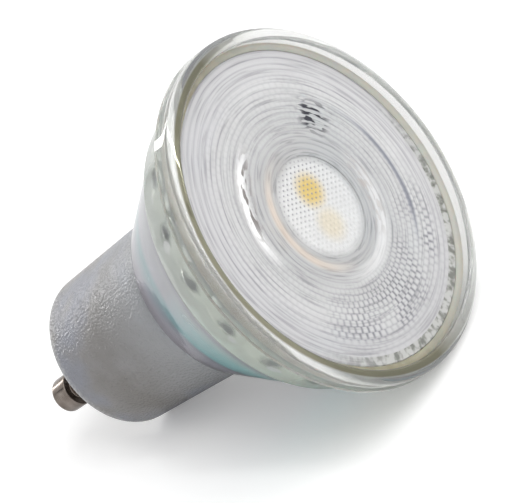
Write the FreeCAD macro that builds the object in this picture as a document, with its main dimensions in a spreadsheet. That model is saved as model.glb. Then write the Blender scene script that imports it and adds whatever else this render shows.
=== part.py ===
"""A mains reflector lamp with two twist-lock pins, in a pressed glass cup with a moulded lens.

The frame stands on the seating face of the base: Z runs up the lamp's axis to the lens,
X runs along the line of the two pins, and the origin is midway between them.
"""
import FreeCAD, Part
import math
import os

import Sketcher
from FreeCAD import Placement, Rotation, Vector

# Driving dimensions in millimetres: alias, value, what it is.
SIZES = [
    ("pin_spacing", 10.0, "pin centre to pin centre"),
    ("pin_head_radius", 2.5, "radius of the locking head"),
    ("pin_neck_radius", 1.5, "radius of the neck that passes through the base"),
    ("pin_length", 7.4, "seating face to the end of the pin"),
    ("pin_head_length", 3.0, "length of the locking head"),
    ("pin_edge", 0.5, "rounding at the end of the head"),
    ("pin_collar_radius", 2.2, "collar that holds the pin inside the base"),
    ("pin_collar_height", 1.0, "height of that collar"),
    ("pin_bore_radius", 0.5, "bore for the crimped lead"),
    ("pin_bore_depth", 6.6, "depth of the bore, from the collar down"),
    ("fit_gap", 0.02, "clearance where a round part sits in its hole"),
    ("base_length", 22.5, "seating face to the front edge of the base"),
    ("base_rear_radius", 10.9, "outside radius at the seating face"),
    ("base_front_radius", 12.0, "outside radius at the front edge"),
    ("base_wall", 1.3, "wall of the base"),
    ("base_floor", 2.2, "floor that carries the pins"),
    ("base_edge", 1.5, "rounding round the seating face"),
    ("base_lip", 0.35, "rounding of the front edge"),
    ("guide_height", 11.0, "height of the board guides above the floor"),
    ("guide_width", 3.4, "width of a board guide"),
    ("guide_clear", 0.1, "pin collar to the inner end of a guide"),
    ("slot_gap", 0.08, "clearance of the driver board in its guides"),
    ("neck_radius", 10.2, "outside radius of the glass neck"),
    ("neck_wall", 1.3, "wall of the glass neck"),
    ("neck_depth", 9.0, "how far the neck reaches into the base"),
    ("cement_rise", 1.0, "foot of the cement above the end of the neck"),
    ("shoulder_radius", 12.2, "start of the glass shoulder on the base"),
    ("cup_low_radius", 13.6, "outside radius where the cup leaves the shoulder"),
    ("cup_low_height", 0.9, "height of that place above the base"),
    ("cup_mid_radius", 20.75, "outside radius below the moulded step"),
    ("cup_mid_height", 13.9, "height of that place above the base"),
    ("cup_step_radius", 21.5, "outside radius above the moulded step"),
    ("cup_step_height", 0.8, "height of the step"),
    ("cup_top_radius", 23.9, "outside radius under the rim"),
    ("rim_radius", 25.0, "outside radius of the glass rim"),
    ("rim_thickness", 3.2, "thickness of the glass rim"),
    ("rim_round", 1.25, "rounding of the front of the rim"),
    ("rim_under_round", 0.9, "rounding under the rim"),
    ("front_height", 47.6, "seating face to the front of the rim"),
    ("seal_width", 0.9, "room between the lens flange and the mouth of the glass"),
    ("mouth_round", 0.55, "rounding of the mouth"),
    ("seat_overlap", 1.2, "how far the lens flange rests on its ledge"),
    ("cavity_low_radius", 13.4, "inside radius of the cup round the light board"),
    ("cavity_low_height", 6.0, "height above the base where the inside flares"),
    ("ledge_height", 2.5, "ledge for the heat spreader above the base"),
    ("dimple_radius", 3.6, "radius of the ball that presses a dimple"),
    ("dimple_depth", 1.0, "depth of a dimple in the inside wall"),
    ("dimple_drop", 6.3, "rim front to the middle of a dimple"),
    ("dimple_count", 24.0, "dimples round the cup"),
    ("lens_recess", 1.6, "lens face below the front of the rim"),
    ("lens_radius", 22.2, "radius of the lens flange"),
    ("lens_flange", 1.3, "thickness of the lens flange"),
    ("lens_band", 1.1, "plain band at the edge of the lens face"),
    ("lens_window_radius", 7.2, "radius of the window in the middle of the lens"),
    ("lens_window_depth", 0.35, "depth of that window"),
    ("lens_ring_count", 9.0, "rings between the window and the plain band"),
    ("lens_ring_round", 5.0, "radius of the curve over one ring"),
    ("lens_foot_radius", 6.4, "outside radius at the foot of the lens body"),
    ("lens_foot_gap", 0.3, "gap from the foot to the light board"),
    ("lens_cone_radius", 16.8, "radius of the lens body under the flange"),
    ("lens_cone_round", 34.0, "radius of the curve of the lens body"),
    ("lens_pocket_radius", 5.2, "radius of the pocket over the light sources"),
    ("lens_pocket_depth", 7.0, "depth of the straight part of the pocket"),
    ("lens_pocket_round", 9.0, "radius of the domed end of the pocket"),
    ("lens_pocket_taper", 0.5, "how much the pocket narrows"),
    ("seal_rise", 0.35, "seal above the lens face at the glass"),
    ("seal_crown", 1.25, "radius of the crowned top over its own chord"),
    ("spreader_radius", 13.0, "radius of the heat spreader"),
    ("spreader_thickness", 1.0, "thickness of the heat spreader's disc"),
    ("skirt_gap", 0.1, "clearance of the spreader's skirt in the neck"),
    ("skirt_wall", 0.6, "wall of the skirt"),
    ("skirt_length", 10.0, "length of the skirt below the disc"),
    ("pad_radius", 12.4, "radius of the thermal pad"),
    ("pad_thickness", 0.3, "thickness of the thermal pad"),
    ("light_board_radius", 12.9, "radius of the light board"),
    ("light_board_thickness", 1.6, "thickness of the light board"),
    ("lead_hole_inset", 0.8, "inside of the skirt to the middle of a light board lead hole"),
    ("lead_hole_radius", 0.7, "radius of a light board lead hole"),
    ("lead_radius", 0.45, "radius of an insulated lead"),
    ("lead_clear", 0.1, "end of a light board lead below the foot of the lens"),
    ("light_lead_foot", 18.6, "seating face to where a light board lead leaves the driver"),
    ("light_lead_low", 20.4, "seating face to the lower bend of that lead"),
    ("light_lead_high", 23.0, "seating face to the upper bend of that lead"),
    ("mains_lead_drop", 1.5, "foot of the driver board down to a mains lead's lower bend"),
    ("mains_lead_slant", 1.2, "height between the two bends of a mains lead"),
    ("mains_lead_lap", 1.6, "how far a mains lead runs up the driver board"),
    ("source_side", 3.4, "side of a light source package"),
    ("source_height", 0.7, "height of a light source package"),
    ("source_spacing", 4.0, "centre to centre of the two light sources"),
    ("source_turn", 70.0, "angle of their line from X"),
    ("source_cup", 2.7, "side of the phosphor fill"),
    ("source_cup_depth", 0.45, "depth of the phosphor fill"),
    ("chip_circle", 9.7, "radius of the circle of parts on the light board"),
    ("board_rectifier_depth", 3.2, "light board rectifier, towards the middle"),
    ("board_rectifier_width", 4.4, "light board rectifier, along the circle"),
    ("board_rectifier_height", 1.5, "light board rectifier, height"),
    ("board_regulator_depth", 2.6, "light board regulator, towards the middle"),
    ("board_regulator_width", 3.4, "light board regulator, along the circle"),
    ("board_regulator_height", 1.3, "light board regulator, height"),
    ("board_resistors_depth", 1.1, "light board resistor, towards the middle"),
    ("board_resistors_width", 2.0, "light board resistor, along the circle"),
    ("board_resistors_height", 0.5, "light board resistor, height"),
    ("board_capacitors_depth", 1.4, "light board capacitor, towards the middle"),
    ("board_capacitors_width", 2.2, "light board capacitor, along the circle"),
    ("board_capacitors_height", 1.1, "light board capacitor, height"),
    ("driver_half_width", 8.4, "half width of the driver board in its guides"),
    ("driver_neck_clear", 1.2, "inside of the skirt to the edge of the driver board"),
    ("driver_thickness", 1.0, "thickness of the driver board"),
    ("driver_bottom", 5.0, "seating face to the foot of the driver board"),
    ("driver_wide_height", 8.0, "height of the wide part of the driver board"),
    ("driver_height", 17.6, "full height of the driver board"),
    ("can_clear", 1.05, "inside of the skirt to the smoothing capacitor"),
    ("can_height", 10.2, "height of the smoothing capacitor's can"),
    ("can_edge", 0.5, "rounding of the can"),
    ("can_stand_off", 0.35, "gap between the can and the driver board"),
    ("can_bottom", 12.2, "seating face to the underside of the can"),
    ("bung_height", 0.7, "height of the rubber bung below the can"),
    ("bung_inset", 0.45, "how much smaller the bung is than the can, in radius"),
    ("can_lead_spacing", 2.5, "spacing of the can's leads"),
    ("can_lead_radius", 0.25, "radius of a component lead"),
    ("can_lead_bottom", 9.9, "seating face to where the can's leads meet the board"),
    ("coil_centre", 14.6, "seating face to the middle of the inductor"),
    ("coil_flange_radius", 2.9, "radius of the ferrite flanges"),
    ("coil_hub_radius", 1.4, "radius of the ferrite hub"),
    ("coil_flange", 0.8, "thickness of a ferrite flange"),
    ("coil_height", 5.0, "height of the inductor from the board"),
    ("coil_winding_radius", 2.6, "radius of the copper winding"),
    ("bridge_width", 4.7, "bridge rectifier, across the board"),
    ("bridge_depth", 2.4, "bridge rectifier, out from the board"),
    ("bridge_height", 3.6, "bridge rectifier, height"),
    ("bridge_edge", 1.8, "edge of the wide part of the board to the rectifier"),
    ("bridge_bottom", 7.4, "seating face to the rectifier"),
    ("box_width", 7.2, "mains capacitor, across the board"),
    ("box_depth", 3.4, "mains capacitor, out from the board"),
    ("box_height", 5.8, "mains capacitor, height"),
    ("box_bottom", 5.4, "seating face to the mains capacitor"),
    ("controller_width", 4.9, "controller chip, across the board"),
    ("controller_depth", 1.5, "controller chip, out from the board"),
    ("controller_height", 3.9, "controller chip, height"),
    ("controller_bottom", 18.3, "seating face to the controller chip"),
    ("chip_width", 1.25, "driver resistor, across the board"),
    ("chip_depth", 0.5, "driver resistor, out from the board"),
    ("chip_height", 2.0, "driver resistor, height"),
    ("chip_edge", 0.6, "edge of the narrow part of the board to the nearest resistor"),
    ("chip_pitch", 2.4, "resistor to resistor up their column"),
    ("chip_row", 11.7, "seating face to the lowest resistors"),
    ("fuse_radius", 1.15, "radius of the fusible resistor"),
    ("fuse_length", 5.0, "length of its body"),
    ("fuse_gap", 0.1, "its outer leg to the mains lead"),
    ("fuse_height", 6.0, "seating face to its axis"),
    ("fuse_stand_off", 1.5, "face of the driver board to its axis"),
    ("fuse_lead_run", 0.8, "straight lead from its body to the bend"),
]

# Angle of each part round the light board, in degrees from X.
BOARD_PART_ANGLES = [
    ("board_rectifier", [292.0]),
    ("board_regulator", [50.0]),
    ("board_resistors", [15.0, 92.0, 110.0, 128.0, 252.0, 328.0]),
    ("board_capacitors", [202.0, 224.0, 268.0]),
]

SHEET_NAME = "Size"
FULL_TURN = 360.0
ON_AXIS = "0"

# Heights and radii that several pieces share, as formulas over the sheet.
NECK_INSIDE = "(Size.neck_radius - Size.neck_wall)"
NECK_BOTTOM = "(Size.base_length - Size.neck_depth)"
LEDGE = "(Size.base_length + Size.ledge_height)"
SPREADER_TOP = "(%s + Size.spreader_thickness)" % LEDGE
PAD_TOP = "(%s + Size.pad_thickness)" % SPREADER_TOP
LIGHT_BOARD_TOP = "(%s + Size.light_board_thickness)" % PAD_TOP
RIM_BACK = "(Size.front_height - Size.rim_thickness)"
LENS_FACE = "(Size.front_height - Size.lens_recess)"
LENS_SEAT = "(%s - Size.lens_flange)" % LENS_FACE
BASE_INSIDE_REAR = "(Size.base_rear_radius - Size.base_wall)"
BASE_INSIDE_FRONT = "(Size.base_front_radius - Size.base_wall)"
BOARD_FACE = "(Size.driver_thickness / 2)"
PIN_X = "(Size.pin_spacing / 2)"
GUIDE_REACH = "(%s + Size.pin_collar_radius + Size.guide_clear)" % PIN_X
SKIRT_OUTSIDE = "(%s - Size.skirt_gap)" % NECK_INSIDE
SKIRT_INSIDE = "(%s - Size.skirt_wall)" % SKIRT_OUTSIDE
NECK_HALF_WIDTH = "(%s - Size.driver_neck_clear)" % SKIRT_INSIDE
CAN_RADIUS = "((%s - %s - Size.can_stand_off - Size.can_clear) / 2)" % (SKIRT_INSIDE, BOARD_FACE)
LEAD_HOLE = "((%s - Size.lead_hole_inset) * sqrt(0.5))" % SKIRT_INSIDE
MOUTH_RADIUS = "(Size.lens_radius + Size.seal_width)"
SEAT_RADIUS = "(Size.lens_radius - Size.seat_overlap)"

doc = FreeCAD.newDocument("reflector_lamp")
sheet = doc.addObject("Spreadsheet::Sheet", SHEET_NAME)
sub_parts = []


def fill_sheet():
    """Write each driving dimension to a row: what it is, and its value under its alias."""
    for row, (alias, number, meaning) in enumerate(SIZES, start=1):
        sheet.set("A%d" % row, meaning)
        sheet.set("B%d" % row, str(number))
        sheet.setAlias("B%d" % row, alias)
    doc.recompute()


def value(formula):
    """The number that a formula over the sheet gives."""
    result = sheet.evalExpression(str(formula))
    return float(getattr(result, "Value", result))


def bind(item, **formulas):
    """Bind properties to formulas; a double underscore in a name stands for a dot."""
    for name, formula in formulas.items():
        item.setExpression(name.replace("__", "."), formula)
    return item


def new_body(label):
    """A body that becomes one node of the lamp."""
    body = doc.addObject("PartDesign::Body", label)
    body.Label = label
    sub_parts.append(body)
    return body


def origin_feature(body, role):
    """One of the body's own origin planes or axes."""
    return [item for item in body.Origin.OriginFeatures if item.Role == role][0]


def attach(sketch, body, role):
    """Lay a sketch on one of its body's origin planes."""
    sketch.AttachmentSupport = [(origin_feature(body, role), "")]
    sketch.MapMode = "FlatFace"


def arc_between(start, end, radius, turn):
    """The arc of the given radius from start to end, and whether its own ends are swapped."""
    chord = end - start
    height = math.sqrt(max(radius ** 2 - (chord.Length / 2) ** 2, 0))
    side = Vector(-chord.y, chord.x, 0).normalize()
    centre = (start + end) * 0.5 + side * (height if turn == "left" else -height)
    first, last = (start, end) if turn == "left" else (end, start)
    circle = Part.Circle(centre, Vector(0, 0, 1), radius)
    begin = math.atan2(first.y - centre.y, first.x - centre.x)
    finish = math.atan2(last.y - centre.y, last.x - centre.x)
    return Part.ArcOfCircle(circle, begin, finish), turn == "right"


def outline(body, name, role, corners):
    """A closed sketch through corners given as formulas: (across, up) or
    (across, up, turn, radius), where the last two bend the side that starts there."""
    sketch = body.newObject("Sketcher::SketchObject", name)
    attach(sketch, body, role)
    points = [Vector(value(corner[0]), value(corner[1]), 0) for corner in corners]
    ends = []
    for index, corner in enumerate(corners):
        start = points[index]
        end = points[(index + 1) % len(points)]
        if len(corner) > 2:
            side, swapped = arc_between(start, end, value(corner[3]), corner[2])
        else:
            side, swapped = Part.LineSegment(start, end), False
        sketch.addGeometry(side, False)
        ends.append((2, 1) if swapped else (1, 2))
    for index in range(len(corners)):
        following = (index + 1) % len(corners)
        sketch.addConstraint(
            Sketcher.Constraint("Coincident", index, ends[index][1], following, ends[following][0]))
    for index, corner in enumerate(corners):
        start = ends[index][0]
        for kind, number, formula in (("DistanceX", points[index].x, corner[0]),
                                      ("DistanceY", points[index].y, corner[1])):
            place = sketch.addConstraint(
                Sketcher.Constraint(kind, -1, 1, index, start, number))
            sketch.setExpression("Constraints[%d]" % place, formula)
        if len(corner) > 2:
            place = sketch.addConstraint(Sketcher.Constraint("Radius", index, value(corner[3])))
            sketch.setExpression("Constraints[%d]" % place, corner[3])
    return sketch


def circles(body, name, rounds):
    """A sketch of circles on the XY plane, each (across, along, radius) as formulas."""
    sketch = body.newObject("Sketcher::SketchObject", name)
    attach(sketch, body, "XY_Plane")
    for index, (across, along, radius) in enumerate(rounds):
        centre = Vector(value(across), value(along), 0)
        sketch.addGeometry(Part.Circle(centre, Vector(0, 0, 1), value(radius)), False)
        for constraint, formula in (
                (Sketcher.Constraint("DistanceX", -1, 1, index, 3, centre.x), across),
                (Sketcher.Constraint("DistanceY", -1, 1, index, 3, centre.y), along),
                (Sketcher.Constraint("Radius", index, value(radius)), radius)):
            place = sketch.addConstraint(constraint)
            sketch.setExpression("Constraints[%d]" % place, formula)
    return sketch


def turned(label, corners):
    """A body of revolution about Z from its half section in the XZ plane."""
    body = new_body(label)
    sketch = outline(body, label + "_section", "XZ_Plane", corners)
    solid = body.newObject("PartDesign::Revolution", label + "_turned")
    solid.Profile = sketch
    solid.ReferenceAxis = (sketch, ["V_Axis"])
    solid.Angle = FULL_TURN
    doc.recompute()
    return body


def padded(body, name, sketch, length, bottom=None):
    """A pad of the sketch, raised to the height bottom."""
    pad = body.newObject("PartDesign::Pad", name)
    pad.Profile = sketch
    bind(pad, Length=length)
    if bottom is not None:
        sketch.setExpression("AttachmentOffset.Base.z", bottom)
    doc.recompute()
    return pad


def pocketed(body, name, sketch, bottom, depth):
    """Cut the sketch upwards from the height bottom, over the length depth."""
    before = body.Shape.Volume
    pocket = body.newObject("PartDesign::Pocket", name)
    pocket.Profile = sketch
    pocket.Reversed = True
    bind(pocket, Length=depth)
    sketch.setExpression("AttachmentOffset.Base.z", bottom)
    doc.recompute()
    if body.Shape.Volume >= before:
        raise ValueError(name + " cuts nothing")
    return pocket


def ring_edges(body, radius, height):
    """Names of the circular edges about Z at this radius and height."""
    names = []
    for number, edge in enumerate(body.Shape.Edges, start=1):
        curve = edge.Curve
        if not isinstance(curve, Part.Circle):
            continue
        near_axis = math.hypot(curve.Center.x, curve.Center.y) < 1e-4
        if near_axis and abs(curve.Radius - value(radius)) < 1e-4 \
                and abs(curve.Center.z - value(height)) < 1e-4:
            names.append("Edge%d" % number)
    if not names:
        raise ValueError("no edge at radius %s, height %s" % (radius, height))
    return names


def rounded(body, name, places, radius):
    """A fillet on the ring edges at the given (radius, height) places."""
    edges = [edge for place in places for edge in ring_edges(body, *place)]
    turned_solid = body.Tip
    fillet = body.newObject("PartDesign::Fillet", name)
    fillet.Base = (turned_solid, edges)
    bind(fillet, Radius=radius)
    doc.recompute()
    return fillet


def block(name, sides, corner, turn=0.0):
    """A box with its sides and lowest corner as formulas, turned about Z by degrees."""
    box = doc.addObject("Part::Box", name)
    box.Placement = Placement(Vector(), Rotation(Vector(0, 0, 1), turn))
    bind(box, Length=sides[0], Width=sides[1], Height=sides[2])
    bind(box, Placement__Base__x=corner[0], Placement__Base__y=corner[1],
         Placement__Base__z=corner[2])
    return box


def rod(name, radius, length, foot, axis=Vector(0, 0, 1)):
    """A cylinder with its foot as formulas, along the given axis."""
    cylinder = doc.addObject("Part::Cylinder", name)
    cylinder.Placement = Placement(Vector(), Rotation(Vector(0, 0, 1), axis))
    bind(cylinder, Radius=radius, Height=length)
    bind(cylinder, Placement__Base__x=foot[0], Placement__Base__y=foot[1],
         Placement__Base__z=foot[2])
    return cylinder


def gathered(label, pieces):
    """One node that holds like pieces as separate solids."""
    group = doc.addObject("Part::Compound", label)
    group.Label = label
    group.Links = pieces
    sub_parts.append(group)
    return group


def fused(name, pieces):
    """One solid made of touching primitives."""
    whole = doc.addObject("Part::MultiFuse", name)
    whole.Shapes = pieces
    return whole


def lead_path(name, across, stops):
    """An open sketch in the plane X = across, through (along, up) stops."""
    sketch = doc.addObject("Sketcher::SketchObject", name)
    sketch.Placement = Placement(
        Vector(), Rotation(Vector(0, 1, 0), Vector(0, 0, 1), Vector(1, 0, 0), "ZXY"))
    bind(sketch, Placement__Base__x=across)
    points = [Vector(value(along), value(up), 0) for along, up in stops]
    for start, end in zip(points, points[1:]):
        sketch.addGeometry(Part.LineSegment(start, end), False)
    last = len(stops) - 1
    for index in range(1, last):
        sketch.addConstraint(Sketcher.Constraint("Coincident", index - 1, 2, index, 1))
    for index, (along, up) in enumerate(stops):
        side, end = (index, 1) if index < last else (last - 1, 2)
        for kind, number, formula in (("DistanceX", points[index].x, along),
                                      ("DistanceY", points[index].y, up)):
            place = sketch.addConstraint(Sketcher.Constraint(kind, -1, 1, side, end, number))
            sketch.setExpression("Constraints[%d]" % place, formula)
    return sketch


def bent_lead(name, across, stops, radius):
    """A round lead along straight runs, bent in the plane X = across."""
    path = lead_path(name + "_path", across, stops)
    section = doc.addObject("Part::Circle", name + "_section")
    bind(section, Radius=radius, Placement__Base__x=across,
         Placement__Base__y=stops[0][0], Placement__Base__z=stops[0][1])
    doc.recompute()
    lead = doc.addObject("Part::Sweep", name)
    lead.Sections = [section]
    lead.Spine = (path, ["Edge%d" % number for number in range(1, len(stops))])
    lead.Transition = "Right corner"
    lead.Solid = True
    doc.recompute()
    return lead


def make_contact_pins():
    """Two turned pins: a locking head, a neck through the floor and a collar inside."""
    neck_end = "-(Size.pin_length - Size.pin_head_length)"
    collar_top = "(Size.base_floor + Size.pin_collar_height)"
    bore_end = "(%s - Size.pin_bore_depth)" % collar_top
    for label, across in (("contact_pin_left", "-" + PIN_X), ("contact_pin_right", PIN_X)):
        pin = turned(label, [
            (ON_AXIS, "-Size.pin_length"),
            ("Size.pin_head_radius", "-Size.pin_length"),
            ("Size.pin_head_radius", neck_end),
            ("Size.pin_neck_radius", neck_end),
            ("Size.pin_neck_radius", "Size.base_floor"),
            ("Size.pin_collar_radius", "Size.base_floor"),
            ("Size.pin_collar_radius", collar_top),
            ("Size.pin_bore_radius", collar_top),
            ("Size.pin_bore_radius", bore_end),
            (ON_AXIS, bore_end),
        ])
        rounded(pin, label + "_edge", [("Size.pin_head_radius", "-Size.pin_length")],
                "Size.pin_edge")
        bind(pin, Placement__Base__x=across)


def make_base_shell():
    """The moulded base: a tapered cup with two pin holes and two slotted board guides."""
    shell = turned("base_shell", [
        (ON_AXIS, "0"),
        ("Size.base_rear_radius", "0"),
        ("Size.base_front_radius", "Size.base_length"),
        (BASE_INSIDE_FRONT, "Size.base_length"),
        (BASE_INSIDE_REAR, "Size.base_floor"),
        (ON_AXIS, "Size.base_floor"),
    ])
    rounded(shell, "base_rear_edge", [("Size.base_rear_radius", "0")], "Size.base_edge")
    rounded(shell, "base_front_edge", [("Size.base_front_radius", "Size.base_length")],
            "Size.base_lip")
    half = "(Size.guide_width / 2)"
    into_wall = "(%s + Size.base_wall / 2)" % BASE_INSIDE_REAR
    for side, sign in (("left", "-"), ("right", "")):
        guide = outline(shell, "guide_%s_outline" % side, "XY_Plane", [
            (sign + GUIDE_REACH, "-" + half),
            (sign + into_wall, "-" + half),
            (sign + into_wall, half),
            (sign + GUIDE_REACH, half),
        ])
        padded(shell, "guide_" + side, guide, "Size.guide_height", "Size.base_floor")
    slot_half = "(Size.driver_thickness / 2 + Size.slot_gap)"
    slot_end = "(Size.driver_half_width + Size.slot_gap)"
    slot = outline(shell, "guide_slot_outline", "XY_Plane", [
        ("-" + slot_end, "-" + slot_half),
        (slot_end, "-" + slot_half),
        (slot_end, slot_half),
        ("-" + slot_end, slot_half),
    ])
    pocketed(shell, "guide_slot", slot, "Size.driver_bottom", "Size.base_length")
    hole = "(Size.pin_neck_radius + Size.fit_gap)"
    holes = circles(shell, "pin_hole_outline", [("-" + PIN_X, "0", hole), (PIN_X, "0", hole)])
    pocketed(shell, "pin_holes", holes, "0", "Size.base_floor")


def make_glass_reflector():
    """The pressed glass cup: neck, shoulder, stepped flare, dimpled inside and thick rim."""
    flare = "(Size.base_length + Size.cavity_low_height)"
    step_foot = "(Size.base_length + Size.cup_mid_height)"
    cup = turned("glass_reflector", [
        ("Size.neck_radius", NECK_BOTTOM),
        ("Size.neck_radius", "Size.base_length"),
        ("Size.shoulder_radius", "Size.base_length"),
        ("Size.cup_low_radius", "Size.base_length + Size.cup_low_height"),
        ("Size.cup_mid_radius", step_foot),
        ("Size.cup_step_radius", step_foot + " + Size.cup_step_height"),
        ("Size.cup_top_radius", RIM_BACK),
        ("Size.rim_radius", RIM_BACK),
        ("Size.rim_radius", "Size.front_height"),
        (MOUTH_RADIUS, "Size.front_height"),
        (MOUTH_RADIUS, LENS_SEAT),
        (SEAT_RADIUS, LENS_SEAT),
        ("Size.cavity_low_radius", flare),
        ("Size.cavity_low_radius", LEDGE),
        (NECK_INSIDE, LEDGE),
        (NECK_INSIDE, NECK_BOTTOM),
    ])
    rounded(cup, "rim_front", [("Size.rim_radius", "Size.front_height")], "Size.rim_round")
    rounded(cup, "rim_under", [("Size.rim_radius", RIM_BACK)], "Size.rim_under_round")
    rounded(cup, "rim_mouth", [(MOUTH_RADIUS, "Size.front_height")], "Size.mouth_round")
    dimple_height = "(Size.front_height - Size.dimple_drop)"
    slope = "((%s - Size.cavity_low_radius) / (%s - %s))" % (SEAT_RADIUS, LENS_SEAT, flare)
    wall = "(Size.cavity_low_radius + (%s - %s) * %s)" % (dimple_height, flare, slope)
    dimple = cup.newObject("PartDesign::SubtractiveSphere", "dimple")
    dimple.AttachmentSupport = [(origin_feature(cup, "XY_Plane"), "")]
    dimple.MapMode = "FlatFace"
    bind(dimple, Radius="Size.dimple_radius",
         AttachmentOffset__Base__x="%s + Size.dimple_depth - Size.dimple_radius" % wall,
         AttachmentOffset__Base__z=dimple_height)
    doc.recompute()
    ring = cup.newObject("PartDesign::PolarPattern", "dimple_ring")
    ring.Originals = [dimple]
    ring.Axis = (origin_feature(cup, "Z_Axis"), [""])
    ring.Angle = FULL_TURN
    bind(ring, Occurrences="Size.dimple_count")
    cup.Tip = ring
    doc.recompute()


def make_bonding_ring():
    """The cement between the glass neck and the base."""
    rise = "(Size.base_front_radius - Size.base_rear_radius) / (Size.base_length - Size.base_floor)"
    foot = "(%s + Size.cement_rise)" % NECK_BOTTOM
    top = "(Size.base_length - Size.base_lip)"
    inside = "(%s + (%s - Size.base_floor) * %s)"
    turned("bonding_ring", [
        ("Size.neck_radius", foot),
        (inside % (BASE_INSIDE_REAR, foot, rise), foot),
        (inside % (BASE_INSIDE_REAR, top, rise), top),
        ("Size.neck_radius", top),
    ])


def make_front_lens():
    """The moulded lens: a ringed face with a window, on a solid collimating body."""
    corners = [
        ("Size.lens_pocket_radius", "(%s + Size.lens_foot_gap)" % LIGHT_BOARD_TOP),
        ("Size.lens_foot_radius", "(%s + Size.lens_foot_gap)" % LIGHT_BOARD_TOP,
         "left", "Size.lens_cone_round"),
        ("Size.lens_cone_radius", LENS_SEAT),
        ("Size.lens_radius", LENS_SEAT),
        ("Size.lens_radius", LENS_FACE),
    ]
    band_edge = "(Size.lens_radius - Size.lens_band)"
    pitch = "((%s - Size.lens_window_radius) / Size.lens_ring_count)" % band_edge
    for ring in range(int(value("Size.lens_ring_count"))):
        corners.append(("%s - %d * %s" % (band_edge, ring, pitch), LENS_FACE,
                        "left", "Size.lens_ring_round"))
    window = "(%s - Size.lens_window_depth)" % LENS_FACE
    dome_foot = "(%s + Size.lens_foot_gap + Size.lens_pocket_depth)" % LIGHT_BOARD_TOP
    neck = "(Size.lens_pocket_radius - Size.lens_pocket_taper)"
    dome_rise = "(Size.lens_pocket_round - sqrt(Size.lens_pocket_round ^ 2 - %s ^ 2))" % neck
    corners += [
        ("Size.lens_window_radius", LENS_FACE),
        ("Size.lens_window_radius", window),
        (ON_AXIS, window),
        (ON_AXIS, "%s + %s" % (dome_foot, dome_rise), "right", "Size.lens_pocket_round"),
        (neck, dome_foot),
    ]
    turned("front_lens", corners)


def make_lens_seal():
    """The crowned silicone bead between the lens flange and the glass mouth."""
    chord = "sqrt(Size.seal_width ^ 2 + Size.seal_rise ^ 2)"
    turned("lens_seal", [
        ("Size.lens_radius", LENS_SEAT),
        (MOUTH_RADIUS, LENS_SEAT),
        (MOUTH_RADIUS, "%s + Size.seal_rise" % LENS_FACE,
         "left", "Size.seal_crown * " + chord),
        ("Size.lens_radius", LENS_FACE),
    ])


def lead_holes(body, name, bottom, depth):
    """The two holes that the light board's leads pass through."""
    sketch = circles(body, name + "_outline", [
        ("-" + LEAD_HOLE, LEAD_HOLE, "Size.lead_hole_radius"),
        (LEAD_HOLE, "-" + LEAD_HOLE, "Size.lead_hole_radius"),
    ])
    pocketed(body, name, sketch, bottom, depth)


def make_heat_spreader():
    """The drawn aluminium cap that carries the light board on the glass ledge."""
    skirt_foot = "(%s - Size.skirt_length)" % LEDGE
    spreader = turned("heat_spreader", [
        (ON_AXIS, LEDGE),
        (SKIRT_INSIDE, LEDGE),
        (SKIRT_INSIDE, skirt_foot),
        (SKIRT_OUTSIDE, skirt_foot),
        (SKIRT_OUTSIDE, LEDGE),
        ("Size.spreader_radius", LEDGE),
        ("Size.spreader_radius", SPREADER_TOP),
        (ON_AXIS, SPREADER_TOP),
    ])
    lead_holes(spreader, "spreader_holes", LEDGE, "Size.spreader_thickness")


def make_disc(label, radius, bottom, thickness):
    """A flat round sheet with the two lead holes."""
    body = new_body(label)
    sketch = circles(body, label + "_outline", [("0", "0", radius)])
    padded(body, label + "_sheet", sketch, thickness, bottom)
    lead_holes(body, label + "_holes", bottom, thickness)


def make_light_sources():
    """Two light packages, each a white cup filled with phosphor."""
    cups = []
    fills = []
    turn = value("Size.source_turn")
    for name, sign in (("a", 1), ("b", -1)):
        middle = "(%d * Size.source_spacing / 2)" % sign
        for kind, side, height, bottom, pile in (
                ("housing", "Size.source_side", "Size.source_height", LIGHT_BOARD_TOP, cups),
                ("fill", "Size.source_cup", "Size.source_cup_depth",
                 "%s + Size.source_height - Size.source_cup_depth" % LIGHT_BOARD_TOP, fills)):
            across = "(%s - %s / 2)" % (middle, side)
            along = "(-%s / 2)" % side
            cosine = "cos(Size.source_turn)"
            sine = "sin(Size.source_turn)"
            pile.append(block("source_%s_%s" % (kind, name), (side, side, height), (
                "%s * %s - %s * %s" % (across, cosine, along, sine),
                "%s * %s + %s * %s" % (across, sine, along, cosine),
                bottom), turn))
    housings = []
    for name, cup, fill in zip("ab", cups, fills):
        housing = doc.addObject("Part::Cut", "source_cup_" + name)
        housing.Base = cup
        housing.Tool = fill
        housings.append(housing)
    gathered("light_packages", housings)
    gathered("phosphor_fills", fills)


def chip_on_circle(name, depth, width, height, angle):
    """A part on the light board, its long side along the circle of parts."""
    cosine = "cos(%s)" % angle
    sine = "sin(%s)" % angle
    inner = "(Size.chip_circle - %s / 2)" % depth
    return block(name, (depth, width, height), (
        "%s * %s + %s / 2 * %s" % (inner, cosine, width, sine),
        "%s * %s - %s / 2 * %s" % (inner, sine, width, cosine),
        LIGHT_BOARD_TOP), angle)


def make_light_board_parts():
    """The small parts soldered round the light sources, by kind."""
    for label, angles in BOARD_PART_ANGLES:
        sides = ["Size.%s_%s" % (label, side) for side in ("depth", "width", "height")]
        gathered(label, [chip_on_circle("%s_%d" % (label, number), *sides, angle)
                         for number, angle in enumerate(angles, start=1)])


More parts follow.
